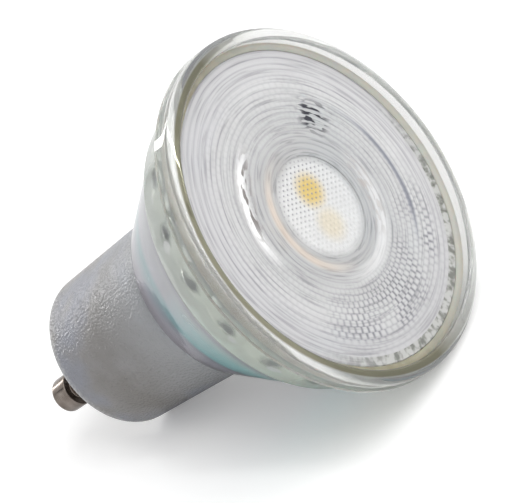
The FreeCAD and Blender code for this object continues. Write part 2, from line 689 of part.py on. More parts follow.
def make_driver_board():
    """The upright driver board, wide in its guides and narrow in the neck."""
    body = new_body("driver_board")
    shoulder = "(Size.driver_bottom + Size.driver_wide_height)"
    top = "(Size.driver_bottom + Size.driver_height)"
    sketch = outline(body, "driver_board_outline", "XZ_Plane", [
        ("-Size.driver_half_width", "Size.driver_bottom"),
        ("Size.driver_half_width", "Size.driver_bottom"),
        ("Size.driver_half_width", shoulder),
        (NECK_HALF_WIDTH, shoulder),
        (NECK_HALF_WIDTH, top),
        ("-" + NECK_HALF_WIDTH, top),
        ("-" + NECK_HALF_WIDTH, shoulder),
        ("-Size.driver_half_width", shoulder),
    ])
    pad = body.newObject("PartDesign::Pad", "driver_board_sheet")
    pad.Profile = sketch
    pad.Midplane = True
    bind(pad, Length="Size.driver_thickness")
    doc.recompute()


def make_smoothing_capacitor():
    """The upright can, its rubber bung and its two bent leads."""
    away = "(%s + Size.can_stand_off + %s)" % (BOARD_FACE, CAN_RADIUS)
    can = turned("capacitor_can", [
        (ON_AXIS, "Size.can_bottom"),
        (CAN_RADIUS, "Size.can_bottom"),
        (CAN_RADIUS, "Size.can_bottom + Size.can_height"),
        (ON_AXIS, "Size.can_bottom + Size.can_height"),
    ])
    rounded(can, "can_top_edge",
            [(CAN_RADIUS, "Size.can_bottom + Size.can_height")], "Size.can_edge")
    bind(can, Placement__Base__y=away)
    bung_foot = "(Size.can_bottom - Size.bung_height)"
    bung = rod("capacitor_bung", "%s - Size.bung_inset" % CAN_RADIUS, "Size.bung_height",
               ("0", away, bung_foot))
    sub_parts.append(bung)
    leads = []
    for name, sign in (("a", "-"), ("b", "")):
        across = "(%sSize.can_lead_spacing / 2)" % sign
        leads.append(bent_lead("capacitor_lead_" + name, across, [
            (away, bung_foot),
            (away, "Size.can_lead_bottom"),
            (BOARD_FACE, "Size.can_lead_bottom"),
        ], "Size.can_lead_radius"))
    gathered("capacitor_leads", leads)


def make_inductor():
    """The ferrite drum on the other face of the board, and its copper winding."""
    toward_back = Vector(0, -1, 0)
    inner = "(Size.coil_height - 2 * Size.coil_flange)"
    hub = rod("coil_hub", "Size.coil_hub_radius", "Size.coil_height",
              ("0", "-" + BOARD_FACE, "Size.coil_centre"), toward_back)
    near = rod("coil_near_flange", "Size.coil_flange_radius", "Size.coil_flange",
               ("0", "-" + BOARD_FACE, "Size.coil_centre"), toward_back)
    far_face = "-(%s + Size.coil_height - Size.coil_flange)" % BOARD_FACE
    far = rod("coil_far_flange", "Size.coil_flange_radius", "Size.coil_flange",
              ("0", far_face, "Size.coil_centre"), toward_back)
    core = fused("inductor_core", [hub, near, far])
    core.Label = "inductor_core"
    sub_parts.append(core)
    start = "-(%s + Size.coil_flange)" % BOARD_FACE
    turns = rod("coil_turns", "Size.coil_winding_radius", inner,
                ("0", start, "Size.coil_centre"), toward_back)
    bore = rod("coil_bore", "Size.coil_hub_radius", inner,
               ("0", start, "Size.coil_centre"), toward_back)
    winding = doc.addObject("Part::Cut", "inductor_winding")
    winding.Label = "inductor_winding"
    winding.Base = turns
    winding.Tool = bore
    sub_parts.append(winding)


def driver_block(name, kind, across, bottom, on_front=False):
    """A part that stands on one face of the driver board, sized by its kind's values."""
    sides = tuple("Size.%s_%s" % (kind, side) for side in ("width", "depth", "height"))
    foot = BOARD_FACE if on_front else "-(%s + %s)" % (BOARD_FACE, sides[1])
    return block(name, sides, (across, foot, bottom))


def make_driver_parts():
    """The moulded and chip parts on both faces of the driver board."""
    sub_parts.append(driver_block(
        "bridge_rectifier", "bridge", "Size.bridge_edge - Size.driver_half_width",
        "Size.bridge_bottom", on_front=True))
    sub_parts.append(driver_block(
        "mains_capacitor", "box", "-Size.box_width / 2", "Size.box_bottom"))
    sub_parts.append(driver_block(
        "controller_chip", "controller", "-Size.controller_width / 2",
        "Size.controller_bottom"))
    left = "(Size.chip_edge - %s)" % NECK_HALF_WIDTH
    right = "(%s - Size.chip_edge - Size.chip_width)" % NECK_HALF_WIDTH
    places = [(left, 0), (left, 1), (right, 0), (right, 1), (right, 2)]
    gathered("driver_resistors", [
        driver_block("driver_resistor_%d" % number, "chip", across,
                     "Size.chip_row + %d * Size.chip_pitch" % row)
        for number, (across, row) in enumerate(places, start=1)])


def make_fuse_resistor():
    """The lacquered fusible resistor on its two bent leads."""
    away = "(%s + Size.fuse_stand_off)" % BOARD_FACE
    along_x = Vector(1, 0, 0)
    right_leg = "(%s - Size.lead_radius - Size.can_lead_radius - Size.fuse_gap)" % PIN_X
    right_end = "(%s - Size.fuse_lead_run)" % right_leg
    left_end = "(%s - Size.fuse_length)" % right_end
    left_leg = "(%s - Size.fuse_lead_run)" % left_end
    pieces = [rod("fuse_barrel", "Size.fuse_radius", "Size.fuse_length",
                  (left_end, away, "Size.fuse_height"), along_x)]
    for name, start, leg in (("left", left_leg, left_leg), ("right", right_end, right_leg)):
        pieces.append(rod("fuse_stub_" + name, "Size.can_lead_radius", "Size.fuse_lead_run",
                          (start, away, "Size.fuse_height"), along_x))
        pieces.append(rod("fuse_leg_" + name, "Size.can_lead_radius",
                          "Size.fuse_stand_off + Size.can_lead_radius",
                          (leg, BOARD_FACE, "Size.fuse_height"), Vector(0, 1, 0)))
    resistor = fused("fuse_resistor", pieces)
    resistor.Label = "fuse_resistor"
    sub_parts.append(resistor)


def make_leads():
    """The mains leads from the pins, and the two leads up to the light board."""
    beside = "(%s + Size.lead_radius)" % BOARD_FACE
    foot = "(Size.base_floor + Size.pin_collar_height - Size.pin_bore_depth)"
    low = "(Size.driver_bottom - Size.mains_lead_drop)"
    mains = []
    for name, across in (("left", "-" + PIN_X), ("right", PIN_X)):
        mains.append(bent_lead("mains_lead_" + name, across, [
            ("0", foot),
            ("0", low),
            (beside, "%s + Size.mains_lead_slant" % low),
            (beside, "Size.driver_bottom + Size.mains_lead_lap"),
        ], "Size.lead_radius"))
    gathered("mains_leads", mains)
    light = []
    top = "(%s + Size.lens_foot_gap - Size.lead_clear)" % LIGHT_BOARD_TOP
    for name, sign in (("left", 1), ("right", -1)):
        near = "%d * %s" % (sign, beside)
        along = "%d * %s" % (sign, LEAD_HOLE)
        light.append(bent_lead("light_lead_" + name, "%d * %s" % (-sign, LEAD_HOLE), [
            (near, "Size.light_lead_foot"),
            (near, "Size.light_lead_low"),
            (along, "Size.light_lead_high"),
            (along, top),
        ], "Size.lead_radius"))
    gathered("light_leads", light)


def check(items):
    """Stop if any object of the document failed, or a sub-part has no sound shape."""
    for item in doc.Objects:
        if "Invalid" in item.State or "Error" in item.State:
            raise ValueError("%s failed: %s" % (item.Name, item.State))
    for item in items:
        if item.Shape.isNull() or not item.Shape.isValid():
            raise ValueError(item.Label + " has no valid shape")


def write(items):
    """Write each sub-part to its own file."""
    os.makedirs("parts", exist_ok=True)
    for item in items:
        item.Shape.exportStep("parts/%s.step" % item.Label)
        print("%-20s %9.1f mm3, %d solids, %d faces" % (
            item.Label, item.Shape.Volume, len(item.Shape.Solids), len(item.Shape.Faces)))


fill_sheet()
make_contact_pins()
make_base_shell()
make_glass_reflector()
make_bonding_ring()
make_front_lens()
make_lens_seal()
make_heat_spreader()
make_disc("thermal_pad", "Size.pad_radius", SPREADER_TOP, "Size.pad_thickness")
make_disc("light_board", "Size.light_board_radius", PAD_TOP, "Size.light_board_thickness")
make_light_sources()
make_light_board_parts()
make_driver_board()
make_smoothing_capacitor()
make_inductor()
make_driver_parts()
make_fuse_resistor()
make_leads()
doc.recompute()
check(sub_parts)
write(sub_parts)
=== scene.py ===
import math

import bmesh
import bpy
from bpy.props import FloatProperty, IntProperty, PointerProperty
from mathutils import Matrix, Vector, noise


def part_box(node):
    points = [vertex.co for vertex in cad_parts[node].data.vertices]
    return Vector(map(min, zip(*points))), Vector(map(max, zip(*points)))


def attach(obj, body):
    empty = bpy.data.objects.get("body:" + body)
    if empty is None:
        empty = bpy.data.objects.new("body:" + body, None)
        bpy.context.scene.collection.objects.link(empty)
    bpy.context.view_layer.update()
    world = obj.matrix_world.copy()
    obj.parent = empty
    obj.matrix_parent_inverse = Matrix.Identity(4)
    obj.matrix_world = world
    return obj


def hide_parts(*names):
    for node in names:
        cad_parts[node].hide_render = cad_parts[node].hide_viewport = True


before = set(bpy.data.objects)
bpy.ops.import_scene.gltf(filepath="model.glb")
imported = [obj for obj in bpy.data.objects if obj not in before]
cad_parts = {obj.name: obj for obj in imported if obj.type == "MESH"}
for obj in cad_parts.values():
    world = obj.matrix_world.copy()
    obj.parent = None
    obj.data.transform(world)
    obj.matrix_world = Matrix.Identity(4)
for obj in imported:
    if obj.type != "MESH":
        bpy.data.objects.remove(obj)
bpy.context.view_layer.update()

bl_info = {
    "name": "Pressed glass reflector lamp",
    "version": (1, 0, 0),
    "blender": (4, 5, 0),
    "location": "3D View > Sidebar > Lamp",
    "description": "Builds the glass, lens, seal, base, pins and inside of a reflector lamp",
    "category": "Object",
}

MM = 0.001
BODY = "root"
TURN = 2 * math.pi

# Kinds of node that come up often. A RANGE takes a value, its low and its high, and what
# they become. A MIX of colours takes its share at 0 and its colours at 6 and 7.
VECTORS = "ShaderNodeVectorMath"
JOIN = "ShaderNodeCombineXYZ"
SPLIT = "ShaderNodeSeparateXYZ"
RANGE = "ShaderNodeMapRange"
MIX = "ShaderNodeMix"
RAMP = "ShaderNodeValToRGB"
NOISE = "ShaderNodeTexNoise"
GRADIENT = "ShaderNodeTexGradient"
BUMP = "ShaderNodeBump"
SHADER = "ShaderNodeBsdfPrincipled"
OUTPUT = "ShaderNodeOutputMaterial"

# Places read from the frame, in metres.
GLASS_LOW, GLASS_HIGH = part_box("glass_reflector")
SEAL_LOW, SEAL_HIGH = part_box("lens_seal")
COIL_LOW, COIL_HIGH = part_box("inductor_winding")
RIM_FRONT = GLASS_HIGH.z
RIM_RADIUS = GLASS_HIGH.x
RIM_BACK = RIM_FRONT - 3.2 * MM
BASE_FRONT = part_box("base_shell")[1].z
LENS_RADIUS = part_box("front_lens")[1].x
MOUTH_RADIUS = SEAL_HIGH.x
BOARD_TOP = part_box("light_board")[1].z
LENS_SEAT = SEAL_LOW.z
BAND_RADIUS = LENS_RADIUS - 1.1 * MM
WALL_FOOT = BASE_FRONT + 6.0 * MM

# In millimetres: the radius of the cup's inside wall at its foot and at the lens seat, and
# the thickness of the lens at its edge.
WALL_LOW_RADIUS = 13.4
WALL_HIGH_RADIUS = 21.0
LENS_THICKNESS = 1.3

# A seated piece stands this far off its neighbour, so that two clear walls never share a
# plane.
SEAT_GAP = 0.01 * MM
# Vertices nearer than this are one.
WELD = 1e-6

# Painted reflections on the lens: arcs of light and of the dark of the inside, each with its
# middle and half spread in degrees from X, radius and half width in millimetres, colour,
# strength, and whether specks break the arc up.
PAINTED_REFLECTION_ARCS = (
    (-147, 15, 13.2, 4.2, "#2E2E38", 1.0, True),
    (158, 44, 15.8, 0.65, "#666A7A", 0.8, False),
    (-42, 42, 12.9, 1.0, "#FFFFFF", 1.0, False),
    (-48, 36, 12.3, 1.5, "#5E524E", 0.85, True),
    (150, 40, 9.6, 1.6, "#8A7A70", 0.8, True),
    (-10, 80, 8.6, 0.9, "#F3D6B6", 0.5, False),
    (120, 70, 10.0, 1.4, "#FFFFFF", 0.5, False),
)

# Pieces that keep their source's shape: the nodes, their slot, how far their edges are
# rounded in millimetres, and their finish as the function finish takes it.
LIGHT_BOARD_FINISHES = (
    # Solder mask on aluminium: white ink, satin, a little uneven.
    ("light_board", "white_mask", 0.0, "white_solder_mask", "#E9E8E3", "#F3F2EE", 3.0, 0.5,
     0.02, 0.42),
    # Aluminium sheet, deep drawn: bright metal, with soft streaks along the skirt.
    ("heat_spreader", "spreader_metal", 0.0, "drawn_aluminium", "#B9BABD", "#CFD0D2", 2.0, 0.5,
     0.02, 0.36, 1.0, (1, 1, 0.15)),
    # Filled silicone, cast as a pad: matt blue grey with a fine grain.
    ("thermal_pad", "gap_pad", 0.0, "gap_pad_silicone", "#8E9BA6", "#A0ABB4", 1.5, 0.2, 0.02,
     0.8),
    # PCT resin, moulded: bright white walls round each source.
    ("light_packages", "white_housing", 0.08, "white_package_resin", "#F0F0EC", "#F8F8F5", 1.0,
     0.3, 0.005, 0.35),
    # Phosphor in silicone, dispensed: deep yellow with a grainy face.
    ("phosphor_fills", "phosphor", 0.0, "dispensed_phosphor", "#F2C03A", "#F8D566", 0.6, 0.12,
     0.02, 0.45),
    # Epoxy, transfer moulded: near black with a dull, fine grain.
    ("board_rectifier board_regulator", "black_epoxy", 0.1, "moulded_epoxy", "#1B1B1D",
     "#26262A", 1.2, 0.15, 0.015, 0.55),
    # Thick film, fired on a chip: dark brown glaze, faintly glossy.
    ("board_resistors", "chip_black", 0.06, "fired_thick_film", "#1F1A19", "#2E2523", 0.8,
     0.15, 0.01, 0.4),
    # Ceramic, sintered: tan, dense and slightly mottled.
    ("board_capacitors", "chip_tan", 0.08, "sintered_ceramic", "#8A6349", "#A0785A", 0.7, 0.15,
     0.01, 0.5),
)
DRIVER_FINISHES = (
    # Silicone, drawn over the wire: off-white with a soft shine.
    ("light_leads mains_leads", "lead_sleeve", 0.0, "silicone_lead_sleeve", "#E4E2DC",
     "#EEEDE8", 1.0, 0.3, 0.01, 0.45),
    # Glass and epoxy, pressed: deep green, a little uneven from the cloth.
    ("driver_board", "laminate", 0.05, "glass_epoxy_laminate", "#1F5B35", "#2A6B42", 2.5, 0.4,
     0.015, 0.38),
    # Plastic sleeve, shrunk on the can: blue black and glossy.
    ("capacitor_can", "can_sleeve", 0.0, "shrunk_sleeve", "#14171F", "#1D212B", 2.0, 0.6, 0.01,
     0.3),
    # Rubber, moulded: black and dull.
    ("capacitor_bung", "bung_rubber", 0.0, "moulded_bung_rubber", "#151515", "#202020", 1.0,
     0.2, 0.02, 0.8),
    # Copper wire, tinned: pale grey metal with a soft shine.
    ("capacitor_leads", "tinned", 0.0, "tinned_copper_wire", "#B8B8BA", "#CACACC", 0.6, 0.1,
     0.005, 0.3, 1.0),
    # Ferrite, pressed and sintered: charcoal, rough as fired clay.
    ("inductor_core", "ferrite", 0.0, "sintered_ferrite", "#222225", "#303034", 0.8, 0.15,
     0.02, 0.6),
)
DRIVER_CHIP_FINISHES = (
    # Epoxy, transfer moulded: near black with a dull, fine grain.
    ("bridge_rectifier controller_chip", "black_epoxy", 0.12, "driver_moulded_epoxy",
     "#1A1A1C", "#28282B", 1.2, 0.15, 0.015, 0.55),
    # Polyester, moulded as a box: deep yellow with a smooth satin face.
    ("mains_capacitor", "film_box", 0.25, "moulded_capacitor_box", "#C79A25", "#D6AB38", 2.0,
     0.3, 0.01, 0.35),
    # Thick film, fired on a chip: dark brown glaze, faintly glossy.
    ("driver_resistors", "chip_black", 0.06, "driver_thick_film", "#201B1A", "#302725", 0.8,
     0.15, 0.01, 0.4),
    # Lacquer, dipped: blue grey and glossy, a little uneven.
    ("fuse_resistor", "lacquer", 0.0, "dipped_lacquer", "#5C7D96", "#6C8CA4", 1.0, 0.3, 0.01,
     0.3),
)


def linear(hex_colour):
    """The linear colour of an sRGB hex value."""
    parts = [int(hex_colour[place:place + 2], 16) / 255 for place in (1, 3, 5)]
    return tuple(
        [part / 12.92 if part <= 0.04045 else ((part + 0.055) / 1.055) ** 2.4
         for part in parts] + [1.0])


def add(tree, kind, inputs=(), stops=(), **settings):
    """A node of this kind, or the math node of an operation in capitals, with its settings
    and, for a colour ramp, its (position, hex) stops. Its inputs, by name or in order, are
    values, or are linked to sockets or to the first output in use of other nodes."""
    if kind.isupper():
        kind, settings = "ShaderNodeMath", {"operation": kind}
    made = tree.nodes.new(kind)
    for name, setting in settings.items():
        setattr(made, name, setting)
    named = inputs.items() if isinstance(inputs, dict) else enumerate(inputs)
    for name, source in named:
        if isinstance(source, bpy.types.Node):
            source = next(socket for socket in source.outputs if socket.enabled)
        if isinstance(source, bpy.types.NodeSocket):
            tree.links.new(source, made.inputs[name])
        else:
            made.inputs[name].default_value = source
    if stops:
        elements = made.color_ramp.elements
        elements.remove(elements[0])
        elements[0].position, elements[0].color = stops[0][0], linear(stops[0][1])
        for position, colour in stops[1:]:
            elements.new(position).color = linear(colour)
    return made


def per_size(millimetres):
    """The scale at which a texture's feature is about this wide."""
    return 1 / (millimetres * MM)


def heading(angle):
    """The level direction at an angle from X."""
    return Vector((math.cos(angle), math.sin(angle), 0))


def new_material(name):
    """A material with an empty tree, the tree and its object coordinates."""
    material = bpy.data.materials.new(name)
    material.use_nodes = True
    tree = material.node_tree
    tree.nodes.clear()
    return material, tree, add(tree, "ShaderNodeTexCoord").outputs["Object"]


def finish(name, colour, second, patch, grain, depth, roughness, metallic=0.0,
           stretch=(1, 1, 1), coat=0.0):
    """A finish whose colour drifts between two hex values in patches of so many
    millimetres, with a grain of this width and depth in millimetres, drawn out along an
    axis by a stretch under 1."""
    material, tree, place = new_material(name)
    drift = add(tree, NOISE, {"Vector": place, "Scale": per_size(patch), "Detail": 4.0})
    tone = laid_over(tree, linear(colour), (drift, second))
    spread = add(tree, "ShaderNodeMapping", {"Vector": place, "Scale": stretch})
    texture = add(tree, NOISE, {"Vector": spread, "Scale": per_size(grain), "Detail": 3.0})
    bump = add(tree, BUMP, {"Height": texture, "Distance": depth * MM})
    shader = add(tree, SHADER, {
        "Base Color": tone, "Roughness": roughness, "Metallic": metallic, "Normal": bump,
        "Coat Weight": coat})
    add(tree, OUTPUT, {"Surface": shader})
    return material


def laid_over(tree, colour, *layers, blend="MIX"):
    """A colour with others laid over it in turn, each a (share, hex or socket) pair."""
    for share, over in layers:
        over = linear(over) if isinstance(over, str) else over
        colour = add(tree, MIX, {0: share, 6: colour, 7: over}, data_type="RGBA",
                     blend_type=blend)
    return colour


def flat_radius(tree, place):
    """The distance of a place from the lamp's axis."""
    flat = add(tree, VECTORS, (place, (1, 1, 0)), operation="MULTIPLY")
    return add(tree, VECTORS, (flat,), operation="LENGTH")


def side_share(tree, place, angle, low, high):
    """From 0 to 1 as the place's own side of the lamp turns towards an angle from X."""
    flat = add(tree, VECTORS, (place, (1, 1, 0)), operation="MULTIPLY")
    side = add(tree, VECTORS, (flat,), operation="NORMALIZE")
    along = add(tree, VECTORS, (side, heading(angle)), operation="DOT_PRODUCT")
    return add(tree, RANGE, (along, low, high))


def from_middle(tree, phase):
    """From -0.5 to 0.5 across each whole step of the phase."""
    local = add(tree, "FRACT", (phase,))
    return add(tree, "SUBTRACT", (local, 0.5))


def ringed_patches(tree, radius, turned, width, patches, detail=2.0):
    """A noise in patches of this width across the radius, so many round the turn."""
    spread = add(tree, JOIN, (add(tree, "DIVIDE", (radius, width)),
                              add(tree, "MULTIPLY", (turned, patches))))
    return add(tree, NOISE, {"Vector": spread, "Scale": 1.0, "Detail": detail})


def pressed_glass():
    """Soda glass, pressed in a mould and fire polished: clear, faintly green where it is
    thick, softly uneven, with a thin film whose colour changes up the cup, a painted grey spot
    for the dark of the inside beside a painted highlight at each dimple, and the silicone's
    olive painted on the mouth where it shows through."""
    material, tree, place = new_material("pressed_glass")
    settings = bpy.context.scene.lamp_glass
    height = add(tree, SPLIT, (place,)).outputs["Z"]
    radius = flat_radius(tree, place)
    drift = add(tree, NOISE, {"Vector": place, "Scale": per_size(12.0)})
    wander = add(tree, "MULTIPLY_ADD", (drift, 4.0 * MM, height))
    along = add(tree, RANGE, (wander, BASE_FRONT + 2.0 * MM, RIM_FRONT + 2.0 * MM))
    film = add(tree, RAMP, (along,), [
        (0.0, "#E4E2EA"), (0.04, "#B4B1BE"), (0.16, "#C4C1CF"), (0.21, "#8C879B"),
        (0.25, "#82D4D8"), (0.4, "#9FE8E8"), (0.46, "#C8E8E5"), (0.51, "#A9A7B3"),
        (0.55, "#E6EEDF"), (0.82, "#E8F0E2"), (0.9, "#FCFCFB"), (1.0, "#FFFFFF")])
    plain = add(tree, RAMP, (along,), [
        (0.0, "#DADAE2"), (0.04, "#A9A6B4"), (0.14, "#C4C2CE"), (0.28, "#98BFC5"),
        (0.34, "#CCCAD4"), (0.48, "#C8CACF"), (0.52, "#A6A4B0"), (0.56, "#E6ECE2"),
        (0.82, "#E8EEE4"), (0.9, "#FCFCFB"), (1.0, "#FFFFFF")])
    # The film is thick enough to colour on one side of the cup only.
    coloured = side_share(tree, place, settings.film_side, 0.3, 0.9)
    tint = laid_over(tree, plain, (coloured, film))
    # Painted refraction and highlight: each dimple gets a ragged grey spot on the outer wall,
    # painted shade for the dark of the inside, beside a pale painted highlight.
    turned = add(tree, GRADIENT, (place,), gradient_type="RADIAL").outputs["Fac"]
    phase = add(tree, "MULTIPLY_ADD", (turned, settings.dimples, settings.dimple_phase))
    dimple_step = TURN * WALL_HIGH_RADIUS * MM / settings.dimples
    off = add(tree, JOIN, (
        add(tree, "MULTIPLY", (from_middle(tree, phase), dimple_step)),
        add(tree, "SUBTRACT", (height, RIM_FRONT - settings.dimple_drop))))
    # A cone between the walls tells the outer one from the inner one.
    cone_slope, cone_radius = 0.55, 11.2 * MM
    slant = add(tree, "MULTIPLY_ADD", (height, -cone_slope, radius))
    outer = add(tree, "GREATER_THAN", (slant, cone_radius - cone_slope * BASE_FRONT))
    ragged = add(tree, NOISE, {"Vector": place, "Scale": per_size(2.4)})
    for across, up, size, hex_colour in ((0.0, 0.0, 2.0, "#575A61"),
                                         (1.3, -1.1, 1.0, "#FFFFFF")):
        spot = add(tree, VECTORS, (off, (across * MM, up * MM, 0)), operation="DISTANCE")
        spot = add(tree, "MULTIPLY_ADD", (ragged, 3.0 * MM, spot))
        share = add(tree, RANGE, (spot, (1.4 + size * 0.2) * MM, (1.4 + size) * MM, 0.85, 0.0),
                    interpolation_type="SMOOTHSTEP")
        share = add(tree, "MULTIPLY", (share, outer))
        tint = laid_over(tree, tint, (share, hex_colour))
    # Painted refraction: on the near side the silicone's olive is painted on the rounding of
    # the mouth, where it would show through the glass.
    olive = side_share(tree, place, settings.seal_side, -0.4, 0.1)
    for source, low, high in ((radius, MOUTH_RADIUS + 1.35 * MM, MOUTH_RADIUS + 1.05 * MM),
                              (height, RIM_FRONT - 0.9 * MM, RIM_FRONT - 0.5 * MM)):
        olive = add(tree, "MULTIPLY", (olive, add(tree, RANGE, (source, low, high))))
    tint = laid_over(tree, tint, (olive, "#77745C"))
    # The rim is polished clear, and the cup below it is a little milky.
    clearness = add(tree, RANGE, (height, RIM_FRONT - 5.0 * MM, RIM_FRONT - 3.0 * MM,
                                  0.6, 0.85))
    clearness = add(tree, "MULTIPLY_ADD", (olive, -0.45, clearness))
    waves = add(tree, NOISE, {"Vector": place, "Scale": per_size(4.5), "Detail": 1.0})
    bump = add(tree, BUMP, {"Height": waves, "Distance": 0.05 * MM})
    shader = add(tree, SHADER, {
        "Base Color": tint, "Roughness": 0.05, "IOR": 1.52,
        "Transmission Weight": clearness, "Normal": bump})
    depth = add(tree, "ShaderNodeVolumeAbsorption", {
        "Color": linear("#E2EEE6"), "Density": 3.0})
    add(tree, OUTPUT, {"Surface": shader, "Volume": depth})
    return material


def optical_acrylic():
    """Acrylic, injection moulded: a little milky, with darker lines painted as shade where the
    rings and the pillows meet, a clearer window with a lattice of small lenses and painted
    dark dots, painted arcs of reflected light and dark, and a painted warm image of the two
    sources in the window."""
    material, tree, place = new_material("optical_acrylic")
    settings = bpy.context.scene.lamp_lens
    pitch = ring_pitch(settings)
    height = add(tree, SPLIT, (place,)).outputs["Z"]
    radius = flat_radius(tree, place)
    turned = add(tree, GRADIENT, (place,), gradient_type="RADIAL").outputs["Fac"]
    # Rings: a valley each pitch inwards from the plain band, painted darker there as shade.
    rings = add(tree, "ShaderNodeTexWave", {
        "Vector": place, "Scale": TURN / (20 * pitch),
        "Phase Offset": -TURN * (BAND_RADIUS / pitch % 1)},
        wave_type="RINGS", rings_direction="Z").outputs["Fac"]
    tone = add(tree, RAMP, (rings,), [(0.0, "#E8E8EA"), (0.35, "#FCFCFC"), (1.0, "#FFFFFF")])
    # Fine streaks that run round the axis, from the turning of the tool, drawn coarser
    # than the real ones, or they wouldn't show.
    streaks = ringed_patches(tree, radius, turned, 0.35 * MM, 14.0)
    shade = add(tree, RAMP, (streaks,), [
        (0.34, "#CCCCCE"), (0.46, "#F8F8F8"), (0.6, "#FFFFFF")])
    lilac = add(tree, RANGE, (radius, 15.5 * MM, 19.0 * MM, 0.0, 0.6))
    tone = laid_over(tree, tone, (0.8, shade), (lilac, "#E6E4E8"), blend="MULTIPLY")
    # Pillows: painted shade in the gap between neighbours, where the relief is high, darkest
    # on the cell side and in patches.
    cells = add(tree, "MULTIPLY", (turned, float(settings.pillows)))
    gap = add(tree, "PINGPONG", (staggered(tree, cells, radius, BAND_RADIUS, pitch), 0.5))
    patches = add(tree, NOISE, {"Vector": place, "Scale": per_size(5.0), "Detail": 1.0})
    sideways = add(tree, VECTORS, (place, heading(settings.cell_side)),
                   operation="DOT_PRODUCT")
    gap_shade = add(tree, RANGE, (sideways, 7.0 * MM, 14.0 * MM, 0.12, 1.1))
    for factor in (add(tree, RANGE, (patches, 0.35, 0.55, 0.3, 1.0)),
                   pillow_share(tree, radius),
                   add(tree, RANGE, (gap, 0.0, 0.3, 1.0, 0.0))):
        gap_shade = add(tree, "MULTIPLY", (gap_shade, factor))
    tone = laid_over(tree, tone, (gap_shade, "#9C9CA4"))
    # Painted reflections: arcs of light and of the dark of the inside, painted where the rings
    # would gather them.
    specks = ringed_patches(tree, radius, turned, 0.7 * pitch, 0.36 * settings.pillows, 1.0)
    speckled = add(tree, RANGE, (specks, 0.5, 0.57))
    painted_arcs = 0.0
    for degrees, spread, middle, half, hex_colour, strength, broken in PAINTED_REFLECTION_ARCS:
        share = side_share(tree, place, math.radians(degrees), math.cos(math.radians(spread)),
                           math.cos(math.radians(spread * 0.4)))
        off = add(tree, "SUBTRACT", (radius, middle * MM))
        off = add(tree, "ABSOLUTE", (off,))
        near = add(tree, RANGE, (off, half * MM, half * MM * 0.3, 0.0, strength))
        for factor in (near, speckled) if broken else (near,):
            share = add(tree, "MULTIPLY", (share, factor))
        painted_arcs = add(tree, "MAXIMUM", (painted_arcs, share))
        tone = laid_over(tree, tone, (share, hex_colour))
    # Painted refraction: the band outside the rings has the seal painted on it in broken
    # patches, on one side only, as the seal would show through it.
    band = add(tree, RAMP, (ringed_patches(tree, radius, turned, 1.4 * MM, 126.0),), [
        (0.38, "#94968F"), (0.47, "#C0C1BB"), (0.56, "#ECECE9")])
    outside = add(tree, "GREATER_THAN", (radius, BAND_RADIUS - 0.2 * MM))
    far_side = side_share(tree, place, math.radians(105), 0.2, 0.7)
    outside = add(tree, "MULTIPLY", (outside, far_side))
    tone = laid_over(tree, tone, (outside, band))
    # Window: three sets of rows that cross make the lattice. Its dark dots are painted shade,
    # darker on one side of the window.
    waves = 0.0
    for degrees in (0, 60, 120):
        row = heading(math.radians(degrees)) * (TURN / settings.window_pitch)
        along = add(tree, VECTORS, (place, row), operation="DOT_PRODUCT")
        wave = add(tree, "COSINE", (along,))
        waves = add(tree, "ADD", (wave, waves))
    dots = add(tree, RANGE, (waves, 1.0, 3.0))
    dots = add(tree, "MULTIPLY", (dots, side_share(tree, place, math.radians(-90), -0.8, 0.8)))
    # Painted light: the warm image of the two sources, painted as soft spots in the window.
    warm = 0.0
    for away, strength in ((settings.source_off, 1.0), (-settings.source_off, 0.35)):
        spot = heading(settings.source_turn) * away + Vector((0, 0, LENS_SEAT + 0.95 * MM))
        off = add(tree, VECTORS, (place, spot), operation="DISTANCE")
        glow = add(tree, RANGE, (off, 1.0 * MM, 3.3 * MM, strength, 0.0),
                   interpolation_type="SMOOTHSTEP")
        warm = add(tree, "MAXIMUM", (warm, glow))
    window = laid_over(tree, linear("#FFFFFF"), (warm, "#FDDD84"), (dots, "#A2A2A7"))
    in_window = add(tree, RANGE, (radius, settings.window_radius + 0.2 * MM,
                                  settings.window_radius - 1.2 * MM))
    on_face = add(tree, "GREATER_THAN", (height, LENS_SEAT + 0.2 * MM))
    face = laid_over(tree, tone, (in_window, window))
    tone = laid_over(tree, linear("#FAFAFC"), (on_face, face))
    # The moulding is milkier towards its flange, where it flowed last.
    clearness = add(tree, RANGE, (radius, 8.0 * MM, 17.5 * MM, 0.64, 0.44))
    for share, less in ((in_window, 0.28), (painted_arcs, 0.5)):
        clearness = add(tree, "MULTIPLY_ADD", (share, -less, clearness))
    flow = add(tree, NOISE, {"Vector": place, "Scale": per_size(1.6), "Detail": 3.0})
    relief = add(tree, MIX, {0: in_window, 2: flow, 3: waves})
    bump = add(tree, BUMP, {"Height": relief, "Distance": settings.window_rise})
    shader = add(tree, SHADER, {
        "Base Color": tone, "Roughness": 0.06, "IOR": 1.49,
        "Transmission Weight": clearness, "Normal": bump})
    add(tree, OUTPUT, {"Surface": shader})
    return material


def laid_silicone():
    """Silicone, laid as a bead and wiped: satin, coloured olive towards one side and greyer on
    the other, though the bead is the same all round."""
    material, tree, place = new_material("laid_silicone")
    side = bpy.context.scene.lamp_glass.seal_side
    drift = add(tree, NOISE, {"Vector": place, "Scale": per_size(2.0), "Detail": 3.0})
    tone = laid_over(tree, linear("#B4B5AE"),
                     (side_share(tree, place, side, -0.5, 0.3), "#8C8871"),
                     (add(tree, RANGE, (drift, 0.4, 0.7, 0.0, 0.35)), "#C6C2AC"))
    bump = add(tree, BUMP, {"Height": drift, "Distance": 0.06 * MM})
    shader = add(tree, SHADER, {
        "Base Color": tone, "Roughness": 0.34, "IOR": 1.41, "Normal": bump,
        "Subsurface Weight": 0.3, "Subsurface Scale": 1.0 * MM})
    add(tree, OUTPUT, {"Surface": shader})
    return material


